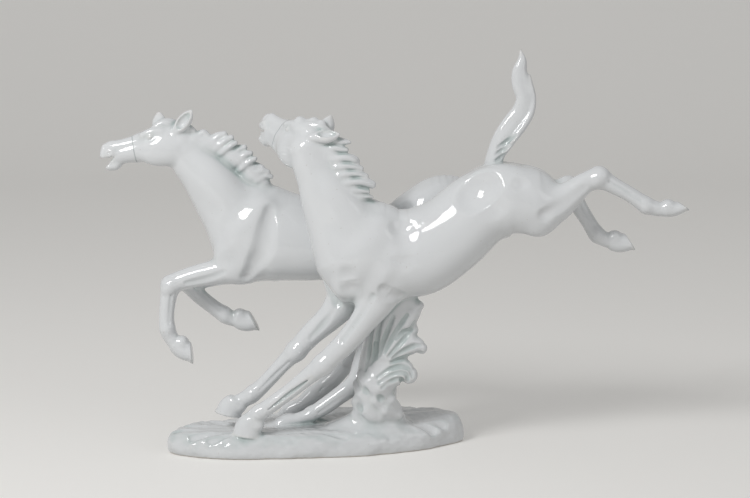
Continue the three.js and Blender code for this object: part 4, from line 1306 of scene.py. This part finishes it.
glazes = {
    "rock": glaze("rock_glaze", pooling_and_shade=1.0, tone=0.98, footed=True),
    "leaf": glaze("leaf_glaze", pooling_and_shade=1.0, tone=0.97),
    "body": glaze("horse_glaze", pooling_and_shade=0.8),
    "face": glaze("face_glaze", pooling_and_shade=0.8, lined=True),
    "hair": glaze("hair_glaze", pooling_and_shade=1.0, tone=0.985),
}
GLAZE_OF = {
    "plinth": "rock", "support_tuft": "leaf", "head": "face", "muzzle": "face", "mane": "hair",
    "forelock": "hair", "tail": "hair",
}

# Each casting becomes one glazed piece, in place of its part of the frame
for name in skin.owners:
    rows, faces = skin.casting(name, whole)
    used = np.unique(faces)
    rows = rows[used]
    faces = np.searchsorted(used, faces)
    mesh = bpy.data.meshes.new(f"{name}_glazed")
    mesh.from_pydata((rows[:, :3] * MM).tolist(), [], faces.tolist())
    mesh.polygons.foreach_set("use_smooth", [True] * len(mesh.polygons))
    mesh.normals_split_custom_set_from_vertices(rows[:, 3:6].tolist())
    kind = GLAZE_OF.get(name.split("horse_")[-1], "body")
    qualities = {"recess": rows[:, 6], "ridge": rows[:, 7]}
    if kind == "face":
        cuts = LUTING[name[:name.index("horse_") + 5]]
        qualities["line"] = beyond(rows[:, :3], cuts["at"], *cuts["muzzle"])
    for quality, values in qualities.items():
        mesh.attributes.new(quality, "FLOAT", "POINT").data.foreach_set("value", values)
    mesh.materials.append(glazes[kind])
    piece = bpy.data.objects.new(f"{name}_glazed", mesh)
    bpy.context.collection.objects.link(piece)
    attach(piece, "root")
    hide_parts(name)
    "rock_glaze" if kind in ("rock", "leaf") else "horse_glaze"


# The studio
# A pale sheet of paper that runs level under the figurine and curves up far behind it, one softbox
# at the upper left, a weak fill at the right, and an even grey room round them.

SHEET_HALF = 3.0
SHEET_FRONT = -2.6
CURVE_START = 1.5
CURVE_RADIUS = 0.9
CURVE_STEPS = 24
SHEET_TOP = 3.2
SHEET_COLOUR = (0.74, 0.73, 0.71, 1)
SHEET_GLOW = (0.2, 0.197, 0.19, 1)  # as it is seen, but not as it lights the figurine
DARK = (0, 0, 0, 1)

profile = [(SHEET_FRONT, 0.0)]
for step in range(CURVE_STEPS + 1):
    turn = math.pi / 2 * step / CURVE_STEPS
    back, up = CURVE_RADIUS * math.sin(turn), CURVE_RADIUS * (1 - math.cos(turn))
    profile.append((CURVE_START + back, up))
profile.append((CURVE_START + CURVE_RADIUS, SHEET_TOP))
points = [(hand * SHEET_HALF, y, z) for y, z in profile for hand in (-1, 1)]
faces = [(2 * i, 2 * i + 1, 2 * i + 3, 2 * i + 2) for i in range(len(profile) - 1)]
sheet_mesh = bpy.data.meshes.new("sheet")
sheet_mesh.from_pydata(points, [], faces)
sheet_mesh.polygons.foreach_set("use_smooth", [True] * len(sheet_mesh.polygons))
sheet = bpy.data.objects.new("sheet", sheet_mesh)
bpy.context.collection.objects.link(sheet)
paper = bpy.data.materials.new("paper")
paper.use_nodes = True
shader = paper.node_tree.nodes["Principled BSDF"]
rays = paper.node_tree.nodes.new("ShaderNodeLightPath")
seen, mirrored_in_glaze, seen_through = (
    Value(paper.node_tree, rays.outputs[kind])
    for kind in ("Is Camera Ray", "Is Glossy Ray", "Is Transmission Ray")
)
tint = (seen + mirrored_in_glaze + seen_through).mixed(DARK, SHEET_GLOW)
paper.node_tree.links.new(tint.socket, shader.inputs["Emission Color"])
shader.inputs["Emission Strength"].default_value = 1
shader.inputs["Base Color"].default_value = SHEET_COLOUR
shader.inputs["Roughness"].default_value = 0.8
shader.inputs["Specular IOR Level"].default_value = 0.2
sheet_mesh.materials.append(paper)


def softbox(name, place, aim, size, power):
    """A rectangular lamp, turned to what it lights."""
    light = bpy.data.lights.new(name, "AREA")
    light.shape = "RECTANGLE"
    light.size, light.size_y = size
    light.energy = power
    lamp = bpy.data.objects.new(name, light)
    lamp.location = place
    lamp.rotation_euler = (Vector(aim) - Vector(place)).to_track_quat("-Z", "Y").to_euler()
    bpy.context.collection.objects.link(lamp)


MIDDLE = (0.04, 0, 0.12)
softbox("softbox", (-0.75, -0.95, 1.05), aim=MIDDLE, size=(0.4, 0.5), power=12)
softbox("fill", (1.1, -0.9, 0.6), aim=MIDDLE, size=(0.8, 0.8), power=2)
ROOM_GREY = (0.5, 0.5, 0.5, 1)
ROOM_LIGHT = 0.66
world = bpy.context.scene.world or bpy.data.worlds.new("studio")
bpy.context.scene.world = world
world.use_nodes = True
room = world.node_tree.nodes["Background"]
room.inputs["Color"].default_value = ROOM_GREY
room.inputs["Strength"].default_value = ROOM_LIGHT
bpy.context.scene.view_settings.view_transform = "Standard"
